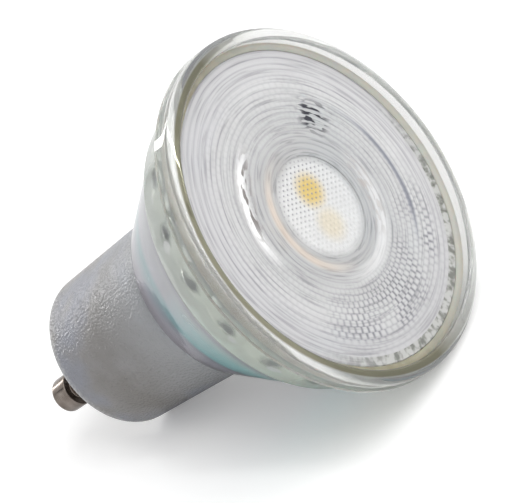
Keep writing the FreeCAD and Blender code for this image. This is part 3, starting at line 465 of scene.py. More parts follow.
def textured_base_plastic():
    """PBT, moulded in an etched tool: a leathery grain that glints. It is drawn a third of
    a millimetre wide, coarser than the real one, so that it shows."""
    material, tree, place = new_material("textured_base_plastic")
    height = add(tree, SPLIT, (place,)).outputs["Z"]
    cells = add(tree, "ShaderNodeTexVoronoi", {"Vector": place, "Scale": per_size(0.34)},
                feature="SMOOTH_F1")
    grit = add(tree, NOISE, {"Vector": place, "Scale": per_size(0.4), "Detail": 4.0})
    grain = add(tree, "ADD", (cells, grit))
    bump = add(tree, BUMP, {"Height": grain, "Distance": 0.14 * MM})
    drift = add(tree, NOISE, {"Vector": place, "Scale": per_size(9.0), "Detail": 2.0})
    worn = add(tree, RAMP, (drift,), [(0.34, "#807D7A"), (0.5, "#8B8988"), (0.64, "#8D8F97")])
    # Painted highlight: the rounded rear edge is painted paler in small specks.
    radius = flat_radius(tree, place)
    lip_highlight = add(tree, RANGE, (height, 0.7 * MM, 1.8 * MM, 1.0, 0.0))
    for factor in (add(tree, RANGE, (grit, 0.38, 0.56)),
                   add(tree, RANGE, (radius, 9.3 * MM, 10.3 * MM, 0.0, 0.85))):
        lip_highlight = add(tree, "MULTIPLY", (lip_highlight, factor))
    # Painted light: towards the cup the plastic is painted lighter and bluer, for the light
    # that comes through the glass.
    painted_glass_light = add(tree, RANGE, (height, 9.0 * MM, 21.0 * MM, 0.0, 0.7))
    tone = laid_over(tree, worn, (lip_highlight, "#BEBEBF"), (painted_glass_light, "#A6A9AD"))
    shader = add(tree, SHADER, {
        "Base Color": tone, "Roughness": 0.25, "IOR": 1.45, "Normal": bump})
    add(tree, OUTPUT, {"Surface": shader})
    return material


def turned_nickel():
    """Brass, turned and nickel plated: warm grey metal with rings from the lathe. They are
    drawn far coarser than the tool leaves them, so that they show."""
    material, tree, place = new_material("turned_nickel")
    rings = add(tree, "ShaderNodeTexWave", {
        "Vector": place, "Scale": per_size(6.0), "Distortion": 0.4, "Detail": 2.0},
        bands_direction="Z").outputs["Fac"]
    bump = add(tree, BUMP, {"Height": rings, "Distance": 0.004 * MM})
    stain = add(tree, NOISE, {"Vector": place, "Scale": per_size(1.8), "Detail": 5.0})
    tone = add(tree, RAMP, (stain,), [(0.3, "#6F665F"), (0.7, "#978E87")])
    shader = add(tree, SHADER, {
        "Base Color": tone, "Metallic": 1.0, "Roughness": 0.22, "Normal": bump})
    add(tree, OUTPUT, {"Surface": shader})
    return material


def new_object(name, data):
    """An object at the origin that holds this mesh, light or camera."""
    made = bpy.data.objects.new(name, data)
    bpy.context.scene.collection.objects.link(made)
    return made


def flat_card(name, middle, along, across, material):
    """A rectangle round a middle, from half its length and half its width."""
    corners = [middle - along - across, middle + along - across, middle + along + across,
               middle - along + across]
    mesh = bpy.data.meshes.new(name)
    mesh.from_pydata(corners, [], [(0, 1, 2, 3)])
    mesh.materials.append(material)
    return new_object(name, mesh)


def seat(piece, material, slot, *nodes, crease=30.0):
    """Give a piece its finish, smooth its curved faces and let it stand for its nodes."""
    mesh = piece.data
    if material is not None:
        mesh.materials.clear()
        mesh.materials.append(material)
    mesh.shade_smooth()
    mesh.set_sharp_from_angle(angle=math.radians(crease))
    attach(piece, BODY)
    if nodes:
        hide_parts(*nodes)


def welded(node):
    """A CAD node's own shape with its loose triangles made one."""
    shape = bmesh.new()
    shape.from_mesh(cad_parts[node].data)
    bmesh.ops.remove_doubles(shape, verts=shape.verts, dist=WELD)
    return shape


def dress(node, material, slot, ease=0.0):
    """Replace a CAD node by its own shape, welded and finished, with its sharp edges
    rounded by so many millimetres."""
    shape = welded(node)
    if ease:
        bmesh.ops.dissolve_limit(shape, angle_limit=math.radians(1), verts=shape.verts,
                                 edges=shape.edges)
        sharp = [edge for edge in shape.edges if edge.calc_face_angle(0) > math.radians(40)]
        bmesh.ops.bevel(shape, geom=sharp, offset=ease * MM, segments=2, profile=0.5,
                        affect="EDGES")
    mesh = bpy.data.meshes.new(node + "_finished")
    shape.to_mesh(mesh)
    shape.free()
    seat(new_object(node + "_finished", mesh), material, slot, node)


def dress_all(rows):
    """Dress the nodes of a table of finishes."""
    for nodes, slot, ease, *look in rows:
        material = finish(*look)
        for node in nodes.split():
            dress(node, material, slot, ease)


def eased(corners, steps=6):
    """A section through (radius, height, rounding) corners, with each corner rounded."""
    points = []
    count = len(corners)
    for index, (radius, height, rounding) in enumerate(corners):
        here = Vector((radius, height))
        if rounding <= 0:
            points.append(here)
            continue
        before = Vector(corners[index - 1][:2]) - here
        after = Vector(corners[(index + 1) % count][:2]) - here
        before.normalize()
        after.normalize()
        half = before.angle(after) / 2
        centre = here + (before + after).normalized() * (rounding / math.sin(half))
        first = here + before * (rounding / math.tan(half)) - centre
        sweep = first.angle_signed(here + after * (rounding / math.tan(half)) - centre)
        for step in range(steps + 1):
            turned = Matrix.Rotation(-sweep * step / steps, 2) @ first
            points.append(centre + turned)
    return points


def stepped(points, longest):
    """The same closed section with no side longer than longest."""
    result = []
    for start, end in zip(points, points[1:] + points[:1]):
        parts = max(1, math.ceil((end - start).length / longest))
        result += [start.lerp(end, part / parts) for part in range(parts)]
    return result


def lathe(name, section, segments, closed=True, zones=None):
    """A mesh turned about Z from a section of (radius, height) points in millimetres.

    A section that isn't closed starts and ends on the axis. Zones, if given, are numbers
    for the section's points, kept on the mesh as the point attribute zone."""
    verts, rows, marks = [], [], []
    for index, point in enumerate(section):
        radius, height = Vector(point) * MM
        count = segments if radius > 1e-9 else 1
        rows.append((len(verts), count))
        for step in range(count):
            angle = TURN * step / segments
            verts.append((radius * math.cos(angle), radius * math.sin(angle), height))
            marks.append(zones[index] if zones else 0.0)
    faces = []
    for (low, low_count), (high, high_count) in zip(rows, rows[1:] + rows[:closed]):
        for step in range(segments):
            following = (step + 1) % segments
            corners = [low + step % low_count, low + following % low_count,
                       high + following % high_count, high + step % high_count]
            faces.append(list(dict.fromkeys(corners)))
    mesh = bpy.data.meshes.new(name)
    mesh.from_pydata(verts, [], faces)
    mesh.attributes.new("zone", "FLOAT", "POINT").data.foreach_set("value", marks)
    shape = bmesh.new()
    shape.from_mesh(mesh)
    bmesh.ops.recalc_face_normals(shape, faces=shape.faces)
    shape.to_mesh(mesh)
    shape.free()
    return mesh


def geometry_tree(name, numbers):
    """A geometry tree with a geometry in and out, and these named number inputs."""
    tree = bpy.data.node_groups.new(name, "GeometryNodeTree")
    face = tree.interface
    face.new_socket("Geometry", in_out="INPUT", socket_type="NodeSocketGeometry")
    for label, number in numbers.items():
        socket = face.new_socket(label, in_out="INPUT", socket_type="NodeSocketFloat")
        socket.default_value = number
    face.new_socket("Geometry", in_out="OUTPUT", socket_type="NodeSocketGeometry")
    return tree, add(tree, "NodeGroupInput").outputs


def end_tree(tree, geometry, material):
    """Realize what is left as instances, set the finish and put the result out."""
    real = add(tree, "GeometryNodeRealizeInstances", {"Geometry": geometry})
    dressed = add(tree, "GeometryNodeSetMaterial", {"Geometry": real, "Material": material})
    add(tree, "NodeGroupOutput", {"Geometry": dressed})
    return tree


def grown(name, mesh, tree, numbers):
    """The plain mesh that a geometry tree makes of this one, as a new object."""
    carrier = new_object(name + "_source", mesh)
    modifier = carrier.modifiers.new(name, "NODES")
    modifier.node_group = tree
    for item in tree.interface.items_tree:
        if item.in_out == "INPUT" and item.name in numbers:
            modifier[item.identifier] = numbers[item.name]
    whole = bpy.context.evaluated_depsgraph_get()
    result = bpy.data.meshes.new_from_object(carrier.evaluated_get(whole))
    result.name = name
    bpy.data.objects.remove(carrier)
    return new_object(name, result)


def polar(tree):
    """The parts of a point's position, its radius, and its angle in turns."""
    place = add(tree, "GeometryNodeInputPosition")
    parts = add(tree, SPLIT, (place,)).outputs
    angle = add(tree, "ARCTAN2", (parts["Y"], parts["X"]))
    return parts, flat_radius(tree, place), add(tree, "DIVIDE", (angle, TURN))


def hump(tree, phase):
    """One rounded hump for each whole step of the phase, from 0 to 1 and back."""
    local = add(tree, "FRACT", (phase,))
    rest = add(tree, "SUBTRACT", (4.0, add(tree, "MULTIPLY", (local, 4.0))))
    return add(tree, "MULTIPLY", (local, rest))


def in_zone(tree, amount):
    """The amount on the points of the mesh's zone, and nought elsewhere."""
    zone = add(tree, "GeometryNodeInputNamedAttribute", {"Name": "zone"}, data_type="FLOAT")
    return add(tree, "MULTIPLY", (amount, zone))


def ring_pitch(settings):
    """The width of one ring of the lens."""
    return (BAND_RADIUS - settings.window_radius) / settings.rings


def staggered(tree, cells, radius, edge, pitch):
    """The cell phase, set off by half a cell from one ring to the next."""
    inward = add(tree, "SUBTRACT", (edge, radius))
    index = add(tree, "FLOOR", (add(tree, "DIVIDE", (inward, pitch)),))
    return add(tree, "MULTIPLY_ADD", (index, 0.5, cells))


def pillow_share(tree, radius):
    """How strongly the rings are cut into pillows: not in the middle, less at the band."""
    share = add(tree, RANGE, (radius, 10.0 * MM, 12.5 * MM))
    outer = add(tree, RANGE, (radius, 18.0 * MM, 19.2 * MM, 1.0, 0.15))
    return add(tree, "MULTIPLY", (share, outer))


def lens_facets_tree(material, numbers):
    """Crowned rings on the lens face, cut into pillows further out."""
    tree, given = geometry_tree("lens_facets", numbers)
    radius, turns = polar(tree)[1:]
    edge, pitch = given["Band Edge"], given["Ring Pitch"]
    inward = add(tree, "SUBTRACT", (edge, radius))
    rings = hump(tree, add(tree, "DIVIDE", (inward, pitch)))
    cells = add(tree, "MULTIPLY", (turns, given["Pillows"]))
    cells = hump(tree, staggered(tree, cells, radius, edge, pitch))
    dip = add(tree, "SUBTRACT", (1.0, cells))
    for factor in (pillow_share(tree, radius), given["Pillow Share"]):
        dip = add(tree, "MULTIPLY", (dip, factor))
    rise = add(tree, "SUBTRACT", (1.0, dip))
    for factor in (rings, given["Ring Rise"]):
        rise = add(tree, "MULTIPLY", (rise, factor))
    moved = add(tree, "GeometryNodeSetPosition", {
        "Geometry": given["Geometry"], "Offset": add(tree, JOIN, {"Z": in_zone(tree, rise)})})
    return end_tree(tree, moved, material)


def glass_dimples_tree(material, numbers):
    """Balls pressed outwards into the inside wall of the cup, evenly round it."""
    tree, given = geometry_tree("glass_dimples", numbers)
    parts, radius, turns = polar(tree)
    phase = add(tree, "MULTIPLY_ADD", (turns, given["Dimples"], given["Phase"]))
    off = add(tree, "MULTIPLY", (from_middle(tree, phase), TURN))
    off = add(tree, "DIVIDE", (off, given["Dimples"]))
    side, ahead = (
        add(tree, "MULTIPLY", (given["Ball Centre"], add(tree, part, (off,))))
        for part in ("SINE", "COSINE"))
    above = add(tree, "SUBTRACT", (parts["Z"], given["Ball Height"]))
    away = add(tree, VECTORS, (add(tree, JOIN, (side, above)),), operation="LENGTH")
    # Half the ball's chord along the radius, where it reaches the point's own side.
    squares = [add(tree, "POWER", (value, 2.0)) for value in (given["Ball Radius"], away)]
    left = add(tree, "SUBTRACT", squares)
    left = add(tree, "MAXIMUM", (left, 0.0))
    reach = add(tree, "ADD", (ahead, add(tree, "SQRT", (left,))))
    wanted = add(tree, "SMOOTH_MAX", (reach, radius, given["Ease"]))
    growth = add(tree, "SUBTRACT", (add(tree, "DIVIDE", (wanted, radius)), 1.0))
    inside = add(tree, "GREATER_THAN", (left, 0.0))
    growth = add(tree, "MULTIPLY", (growth, inside))
    flat = add(tree, JOIN, (parts["X"], parts["Y"]))
    offset = add(tree, VECTORS, {0: flat, "Scale": in_zone(tree, growth)}, operation="SCALE")
    moved = add(tree, "GeometryNodeSetPosition", {
        "Geometry": given["Geometry"], "Offset": offset})
    return end_tree(tree, moved, material)


def solder_tree(name, material, numbers):
    """A small rounded blob on each point, turned by the point's own turn."""
    tree, given = geometry_tree(name, numbers)
    size = add(tree, JOIN, (given["Depth"], given["Width"], given["Height"]))
    blob = add(tree, "GeometryNodeMeshIcoSphere", {"Radius": 0.5, "Subdivisions": 3})
    turn = add(tree, "GeometryNodeInputNamedAttribute", {"Name": "turn"}, data_type="FLOAT")
    placed = add(tree, "GeometryNodeInstanceOnPoints", {
        "Points": given["Geometry"], "Instance": blob,
        "Rotation": add(tree, JOIN, {"Z": turn}), "Scale": size})
    return end_tree(tree, placed, material)


def winding_tree(material, numbers):
    """Round wire wound in an even helix along Z."""
    tree, given = geometry_tree("coil_turns", numbers)
    helix = add(tree, "GeometryNodeCurveSpiral", {
        "Resolution": 28, "Rotations": given["Turns"], "Start Radius": given["Coil Radius"],
        "End Radius": given["Coil Radius"], "Height": given["Coil Length"]})
    wire = add(tree, "GeometryNodeCurvePrimitiveCircle", {
        "Resolution": 8, "Radius": given["Wire Radius"]})
    tube = add(tree, "GeometryNodeCurveToMesh", {
        "Curve": helix, "Profile Curve": wire, "Fill Caps": True})
    return end_tree(tree, tube, material)


def length_setting(name, description, millimetres):
    """A length to set, with its default."""
    return FloatProperty(name=name, description=description, default=millimetres * MM,
                         unit="LENGTH")


def angle_setting(name, description, degrees):
    """An angle to set, with its default."""
    return FloatProperty(name=name, description=description, default=math.radians(degrees),
                         unit="ROTATION")


class GlassSettings(bpy.types.PropertyGroup):
    """Sizes of the pressed glass cup."""

    dimples: IntProperty(
        name="Dimples", description="Dimples round the inside of the cup", default=20)
    dimple_radius: length_setting(
        "Dimple ball", "Radius of the ball that presses a dimple", 4.8)
    dimple_depth: length_setting("Dimple depth", "Depth of a dimple in the inside wall", 0.75)
    dimple_drop: length_setting("Dimple drop", "Rim front to the middle of a dimple", 6.3)
    dimple_phase: FloatProperty(
        name="Dimple phase", description="Share of a step by which the dimples are turned",
        default=0.62, subtype="FACTOR")
    film_side: angle_setting("Film side", "Side of the cup with the coloured film, from X", 48)
    # The seal side sets where the silicone is coloured olive and where its olive is painted on
    # the glass mouth; the bead is the same all round.
    seal_side: angle_setting("Seal side", "Side on which the silicone is thick, from X", -10)
    segments: IntProperty(name="Segments", description="Steps round the cup", default=360)


class LensSettings(bpy.types.PropertyGroup):
    """Sizes of the pattern on the lens."""

    rings: IntProperty(
        name="Rings", description="Rings between the window and the plain band", default=16)
    pillows: IntProperty(name="Pillows", description="Pillows round each ring", default=96)
    ring_rise: length_setting("Ring rise", "Height of a ring's crown", 0.045)
    pillow_share: FloatProperty(
        name="Pillow share", description="Part of the crown that dips between pillows",
        default=0.6, subtype="FACTOR")
    window_radius: length_setting("Window radius", "Radius of the window in the middle", 7.2)
    window_pitch: length_setting("Window pitch", "Spacing of the rows of small lenses", 0.66)
    window_rise: length_setting("Window rise", "Height of a small lens in the window", 0.025)
    # The cell side is where the painted shade in the pillow gaps is darkest; the pillows'
    # relief is the same all round.
    cell_side: angle_setting(
        "Cell side", "Side of the lens on which the pillows are strongest", 88)
    # Source line and source image place the painted warm image of the two sources in the
    # window.
    source_turn: angle_setting(
        "Source line", "Angle of the line of the two sources, from X", 250)
    source_off: length_setting("Source image", "Axis to the middle of a source's image", 2.5)


class SealSettings(bpy.types.PropertyGroup):
    """Look of the silicone bead."""

    unevenness: length_setting(
        "Unevenness", "How far the bead's crown wanders up and down", 0.09)
    patch: length_setting("Patch", "Length over which it wanders", 4.0)


class StageSettings(bpy.types.PropertyGroup):
    """Floor, light and camera."""

    floor_turn: angle_setting(
        "Floor side", "Side of the lamp that lies on the floor, from X", 92.6)
    sky: FloatProperty(
        name="Surround", description="Brightness of the white surround", default=0.52)
    overhead: FloatProperty(
        name="Overhead light", description="Power of the large soft light in watts",
        default=4.8)
    side: FloatProperty(
        name="Side light", description="Power of the narrow light on the left in watts",
        default=1.7)


def glass_section():
    """The cup's section in millimetres, and a 1 for its points on the dimpled wall."""
    neck_radius, neck_bore = 10.2, 8.9
    foot, wall_foot = GLASS_LOW.z / MM, WALL_FOOT / MM
    base, rim, rim_back = BASE_FRONT / MM, RIM_FRONT / MM, RIM_BACK / MM
    shoulder = (BASE_FRONT + SEAT_GAP) / MM
    ledge = (BASE_FRONT + 2.5 * MM - SEAT_GAP) / MM
    lens_ledge = (LENS_SEAT - 2 * SEAT_GAP) / MM
    corners = [
        (neck_radius, foot, 0.4), (neck_radius, shoulder, 0.0), (12.2, shoulder, 0.3),
        (13.6, base + 0.9, 0.6), (20.75, base + 13.9, 0.5), (21.5, base + 14.7, 0.5),
        (23.9, rim_back, 0.5), (RIM_RADIUS / MM, rim_back, 0.0),
        (RIM_RADIUS / MM, rim, 1.25), (MOUTH_RADIUS / MM, rim, 0.55),
        (MOUTH_RADIUS / MM, lens_ledge, 0.1), (WALL_HIGH_RADIUS, lens_ledge, 0.3),
        (WALL_LOW_RADIUS, wall_foot, 1.2), (WALL_LOW_RADIUS, ledge, 0.1),
        (neck_bore, ledge, 0.2), (neck_bore, foot, 0.4),
    ]
    longest, wall_clear, wall_near = 0.42, 0.3, 0.08
    section = stepped(eased(corners), longest)
    zones = []
    for point in section:
        share = (point.y - wall_foot) / (lens_ledge - wall_foot)
        wall = WALL_LOW_RADIUS + (WALL_HIGH_RADIUS - WALL_LOW_RADIUS) * share
        between = wall_foot + wall_clear < point.y < lens_ledge - wall_clear
        zones.append(float(between and abs(point.x - wall) < wall_near))
    return section, zones


class LAMP_OT_glass(bpy.types.Operator):
    """Press the glass cup with its rim, step and dimples"""

    bl_idname = "lamp.glass"
    bl_label = "Glass cup"

    def execute(self, context):
        settings = context.scene.lamp_glass
        section, zones = glass_section()
        mesh = lathe("glass_cup_turned", section, settings.segments, zones=zones)
        height = RIM_FRONT - settings.dimple_drop
        slope = (WALL_HIGH_RADIUS - WALL_LOW_RADIUS) * MM / (LENS_SEAT - WALL_FOOT)
        wall = WALL_LOW_RADIUS * MM + (height - WALL_FOOT) * slope
        numbers = {
            "Dimples": float(settings.dimples),
            "Phase": settings.dimple_phase,
            "Ball Radius": settings.dimple_radius,
            "Ball Centre": wall + settings.dimple_depth - settings.dimple_radius,
            "Ball Height": height,
            "Ease": 0.4 * MM,
        }
        tree = glass_dimples_tree(pressed_glass(), numbers)
        cup = grown("pressed_glass_cup", mesh, tree, numbers)
        seat(cup, None, "clear_glass", "glass_reflector", crease=40.0)
        return {"FINISHED"}


def lens_section(settings):
    """The lens in millimetres from the axis over its face to its foot, its pocket and the
    axis again, and a 1 for its points on the rings."""
    face = LENS_SEAT / MM + LENS_THICKNESS
    seat_height = LENS_SEAT / MM + 2 * SEAT_GAP / MM
    edge = LENS_RADIUS / MM - 0.02
    window, floor = settings.window_radius / MM, face - 0.2
    pitch, ring_steps = ring_pitch(settings) / MM, 6
    middle = [(0.0, floor), (window * 0.5, floor), (window - 0.02, floor)]
    rings = [(window + pitch * step / ring_steps, face)
             for step in range(settings.rings * ring_steps + 1)]
    cone_top, bevel = 16.8, 0.12
    points = middle + rings + [
        (edge - bevel, face), (edge, face - bevel), (edge, seat_height), (19.5, seat_height),
        (cone_top, seat_height)]
    # The body behind the face: a cone that bulges by the arc of a large circle.
    foot = BOARD_TOP / MM + 0.3
    start, end = Vector((cone_top, LENS_SEAT / MM)), Vector((6.4, foot))
    cone_round, cone_steps = 34.0, 14
    bow = cone_round - math.sqrt(cone_round ** 2 - ((end - start).length / 2) ** 2)
    outward = Vector((end - start).normalized().yx) * Vector((-1, 1))
    for step in range(1, cone_steps + 1):
        share = step / cone_steps
        points.append(start.lerp(end, share) + outward * bow * 4 * share * (1 - share))
    # The pocket over the sources, which ends in a dome.
    pocket_radius, pocket_top = 4.7, foot + 7.0
    points += [(5.2, foot), (5.0, foot + 3.0), (pocket_radius, pocket_top)]
    dome_round, dome_steps = 9.0, 8
    rise = dome_round - math.sqrt(dome_round ** 2 - pocket_radius ** 2)
    for step in range(1, dome_steps + 1):
        radius = pocket_radius * (1 - step / dome_steps)
        height = math.sqrt(dome_round ** 2 - radius ** 2) - (dome_round - rise)
        points.append((radius, pocket_top + height))
    zones = [float(0 <= index - len(middle) < len(rings)) for index in range(len(points))]
    return points, zones


class LAMP_OT_lens(bpy.types.Operator):
    """Mould the lens with its ringed, pillowed face and its collimating body"""

    bl_idname = "lamp.lens"
    bl_label = "Lens"

    def execute(self, context):
        settings = context.scene.lamp_lens
        points, zones = lens_section(settings)
        steps_per_pillow = 6
        mesh = lathe("lens_turned", points, settings.pillows * steps_per_pillow,
                     closed=False, zones=zones)
        numbers = {
            "Band Edge": BAND_RADIUS,
            "Ring Pitch": ring_pitch(settings),
            "Pillows": float(settings.pillows),
            "Ring Rise": settings.ring_rise,
            "Pillow Share": settings.pillow_share,
        }
        tree = lens_facets_tree(optical_acrylic(), numbers)
        lens = grown("ringed_lens", mesh, tree, numbers)
        seat(lens, None, "lens_plastic", "front_lens", crease=22.0)
        return {"FINISHED"}


class LAMP_OT_seal(bpy.types.Operator):
    """Lay the silicone bead between the lens and the glass"""

    bl_idname = "lamp.seal"
    bl_label = "Seal"

    def execute(self, context):
        settings = context.scene.lamp_seal
        face = LENS_SEAT / MM + LENS_THICKNESS
        foot = LENS_SEAT / MM + SEAT_GAP / MM
        inner, outer = LENS_RADIUS / MM + 0.01, MOUTH_RADIUS / MM - 0.02
        climb, crown, sink = 0.35, 0.1, 0.02
        section = [(inner, foot), (outer, foot)]
        crown_steps, segments = 8, 288
        for step in range(crown_steps + 1):
            share = step / crown_steps
            height = face + climb * (1 - share) + crown * math.sin(math.pi * share) - sink
            section.append((outer + (inner - outer) * share, height))
        mesh = lathe("seal_turned", section, segments)
        for vert in mesh.vertices:
            if vert.co.z > face * MM - 0.1 * MM:
                wander = noise.noise(vert.co / settings.patch)
                vert.co.z += min(wander, 0.1) * settings.unevenness
        seat(new_object("silicone_bead", mesh), laid_silicone(), "silicone", "lens_seal")
        return {"FINISHED"}


class LAMP_OT_base(bpy.types.Operator):
    """Finish the moulded base, its cement and the two turned pins"""

    bl_idname = "lamp.base"
    bl_label = "Base and pins"

    def execute(self, context):
        dress("base_shell", textured_base_plastic(), "base_plastic")
        # Bonding cement: a pale, dry ceramic paste with a sandy face.
        dress("bonding_ring", finish("bonding_cement", "#B9B3A4", "#CFCABC", 1.5, 0.3, 0.08,
                                     0.9), "cement")
        nickel = turned_nickel()
        for side in ("left", "right"):
            self.turn_pin("contact_pin_" + side, nickel)
        return {"FINISHED"}

    def turn_pin(self, node, nickel):
        """A pin turned from bar: stem, neck, headed end with a rounded edge, and a collar."""
        low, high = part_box(node)
        middle = (low + high) / 2
        foot, top = low.z / MM, high.z / MM
        head, stem, collar, bore = (high.x - low.x) / 2 / MM, 1.5, 2.2, 0.5
        head_top, collar_foot, bore_foot = foot + 3.0, top - 1.0, top - 6.6
        mesh = lathe(node + "_turned", eased([
            (0.0, foot, 0.0), (head, foot, 0.5), (head, head_top, 0.2),
            (stem, head_top, 0.12), (stem, collar_foot, 0.05), (collar, collar_foot, 0.1),
            (collar, top, 0.1), (bore, top, 0.05), (bore, bore_foot, 0.05),
            (0.0, bore_foot, 0.0)]), 64, closed=False)
        mesh.transform(Matrix.Translation((middle.x, middle.y, 0)))
        seat(new_object(node + "_turned", mesh), nickel, "nickel", node, crease=35.0)


class LAMP_OT_light_engine(bpy.types.Operator):
    """Finish the light board with its sources, chips and solder"""

    bl_idname = "lamp.light_engine"
    bl_label = "Light board"

    def execute(self, context):
        dress_all(LIGHT_BOARD_FINISHES)
        # Solder: tin, reflowed, bright and round.
        tin = finish("reflowed_tin", "#C3C4C6", "#D5D6D8", 0.5, 0.3, 0.02, 0.24, 1.0)
        for node, sizes in (("board_resistors", (1.0, 0.7, 0.7)),
                            ("board_capacitors", (1.3, 0.8, 1.0)),
                            ("board_regulator", (1.2, 0.9, 0.6)),
                            ("board_rectifier", (1.3, 1.0, 0.6))):
            self.solder("solder_of_" + node, node, sizes, tin)
        return {"FINISHED"}

    def solder(self, name, node, sizes, tin):
        """Solder at both ends of each chip of a node, in blobs of these sizes."""
        spots = [(place.x, place.y, BOARD_TOP, turn)
                 for middle, turn, width in self.chips(node)
                 for place in (middle - heading(turn + TURN / 4).xy * width / 2,
                               middle + heading(turn + TURN / 4).xy * width / 2)]
        mesh = bpy.data.meshes.new(name + "_spots")
        mesh.from_pydata([spot[:3] for spot in spots], [], [])
        mesh.attributes.new("turn", "FLOAT", "POINT").data.foreach_set(
            "value", [spot[3] for spot in spots])
        numbers = dict(zip(("Depth", "Width", "Height"), (size * MM for size in sizes)))
        piece = grown(name, mesh, solder_tree(name, tin, numbers), numbers)
        seat(piece, None, "tinned", crease=50.0)

    def chips(self, node):
        """The middle, turn and width of each box of a node on the light board."""
        shape = welded(node)
        left = set(shape.verts)
        found = []
        while left:
            group, edge = set(), {next(iter(left))}
            while edge:
                group |= edge
                edge = {other for vert in edge for link in vert.link_edges
                        for other in link.verts} - group
            left -= group
            low = [vert.co.xy for vert in group if vert.co.z < BOARD_TOP + 0.1 * MM]
            middle = sum(low, Vector((0, 0))) / len(low)
            turn = math.atan2(middle.y, middle.x)
            side = heading(turn + TURN / 4).xy
            found.append((middle, turn, 2 * max(abs((point - middle).dot(side))
                                                for point in low)))
        shape.free()
        return sorted(found, key=lambda chip: chip[1])


class LAMP_OT_driver(bpy.types.Operator):
    """Finish the leads, the driver board and the parts that stand on it"""

    bl_idname = "lamp.driver"
    bl_label = "Driver"

    def execute(self, context):
        dress_all(DRIVER_FINISHES)
        self.wind_coil()
        dress_all(DRIVER_CHIP_FINISHES)
        return {"FINISHED"}

    def wind_coil(self):
        """The winding as one helix of enamelled wire, in the room of its node."""
        # Enamelled copper: red-brown metal under a clear coat.
        copper = finish("enamelled_copper", "#B0623A", "#C27848", 0.7, 0.2, 0.005,
                        0.25, 1.0, coat=0.6)
        wire, turn_gap = 0.19 * MM, 1.03
        length = COIL_HIGH.y - COIL_LOW.y - 2 * wire
        numbers = {
            "Turns": length / (2 * wire * turn_gap),
            "Coil Radius": COIL_HIGH.x - wire,
            "Coil Length": length,
            "Wire Radius": wire,
        }
        seed = bpy.data.meshes.new("coil_seed")
        piece = grown("wound_coil", seed, winding_tree(copper, numbers), numbers)
        middle = (COIL_LOW + COIL_HIGH) / 2
        lay = Matrix.Translation(Vector((middle.x, COIL_HIGH.y - wire, middle.z)))
        piece.data.transform(lay @ Matrix.Rotation(TURN / 4, 4, "X"))
        seat(piece, None, "copper", "inductor_winding", crease=50.0)


def floor_material():
    """A pale painted sweep that keeps the shadow and shows nothing from behind."""
    material, tree = new_material("pale_sweep")[:2]
    paint = add(tree, SHADER, {"Base Color": linear("#F7F7F7"), "Roughness": 0.75})
    path = add(tree, "ShaderNodeLightPath").outputs
    lit = add(tree, "MULTIPLY", (path["Is Camera Ray"], 0.22))
    glow = add(tree, "ShaderNodeEmission", {"Color": (1, 1, 1, 1), "Strength": lit})
    both = add(tree, "ShaderNodeAddShader", (paint, glow))
    clear = add(tree, "ShaderNodeBsdfTransparent")
    back = add(tree, "ShaderNodeNewGeometry").outputs["Backfacing"]
    mixed = add(tree, "ShaderNodeMixShader", (back, both, clear))
    add(tree, OUTPUT, {"Surface": mixed})
    return material


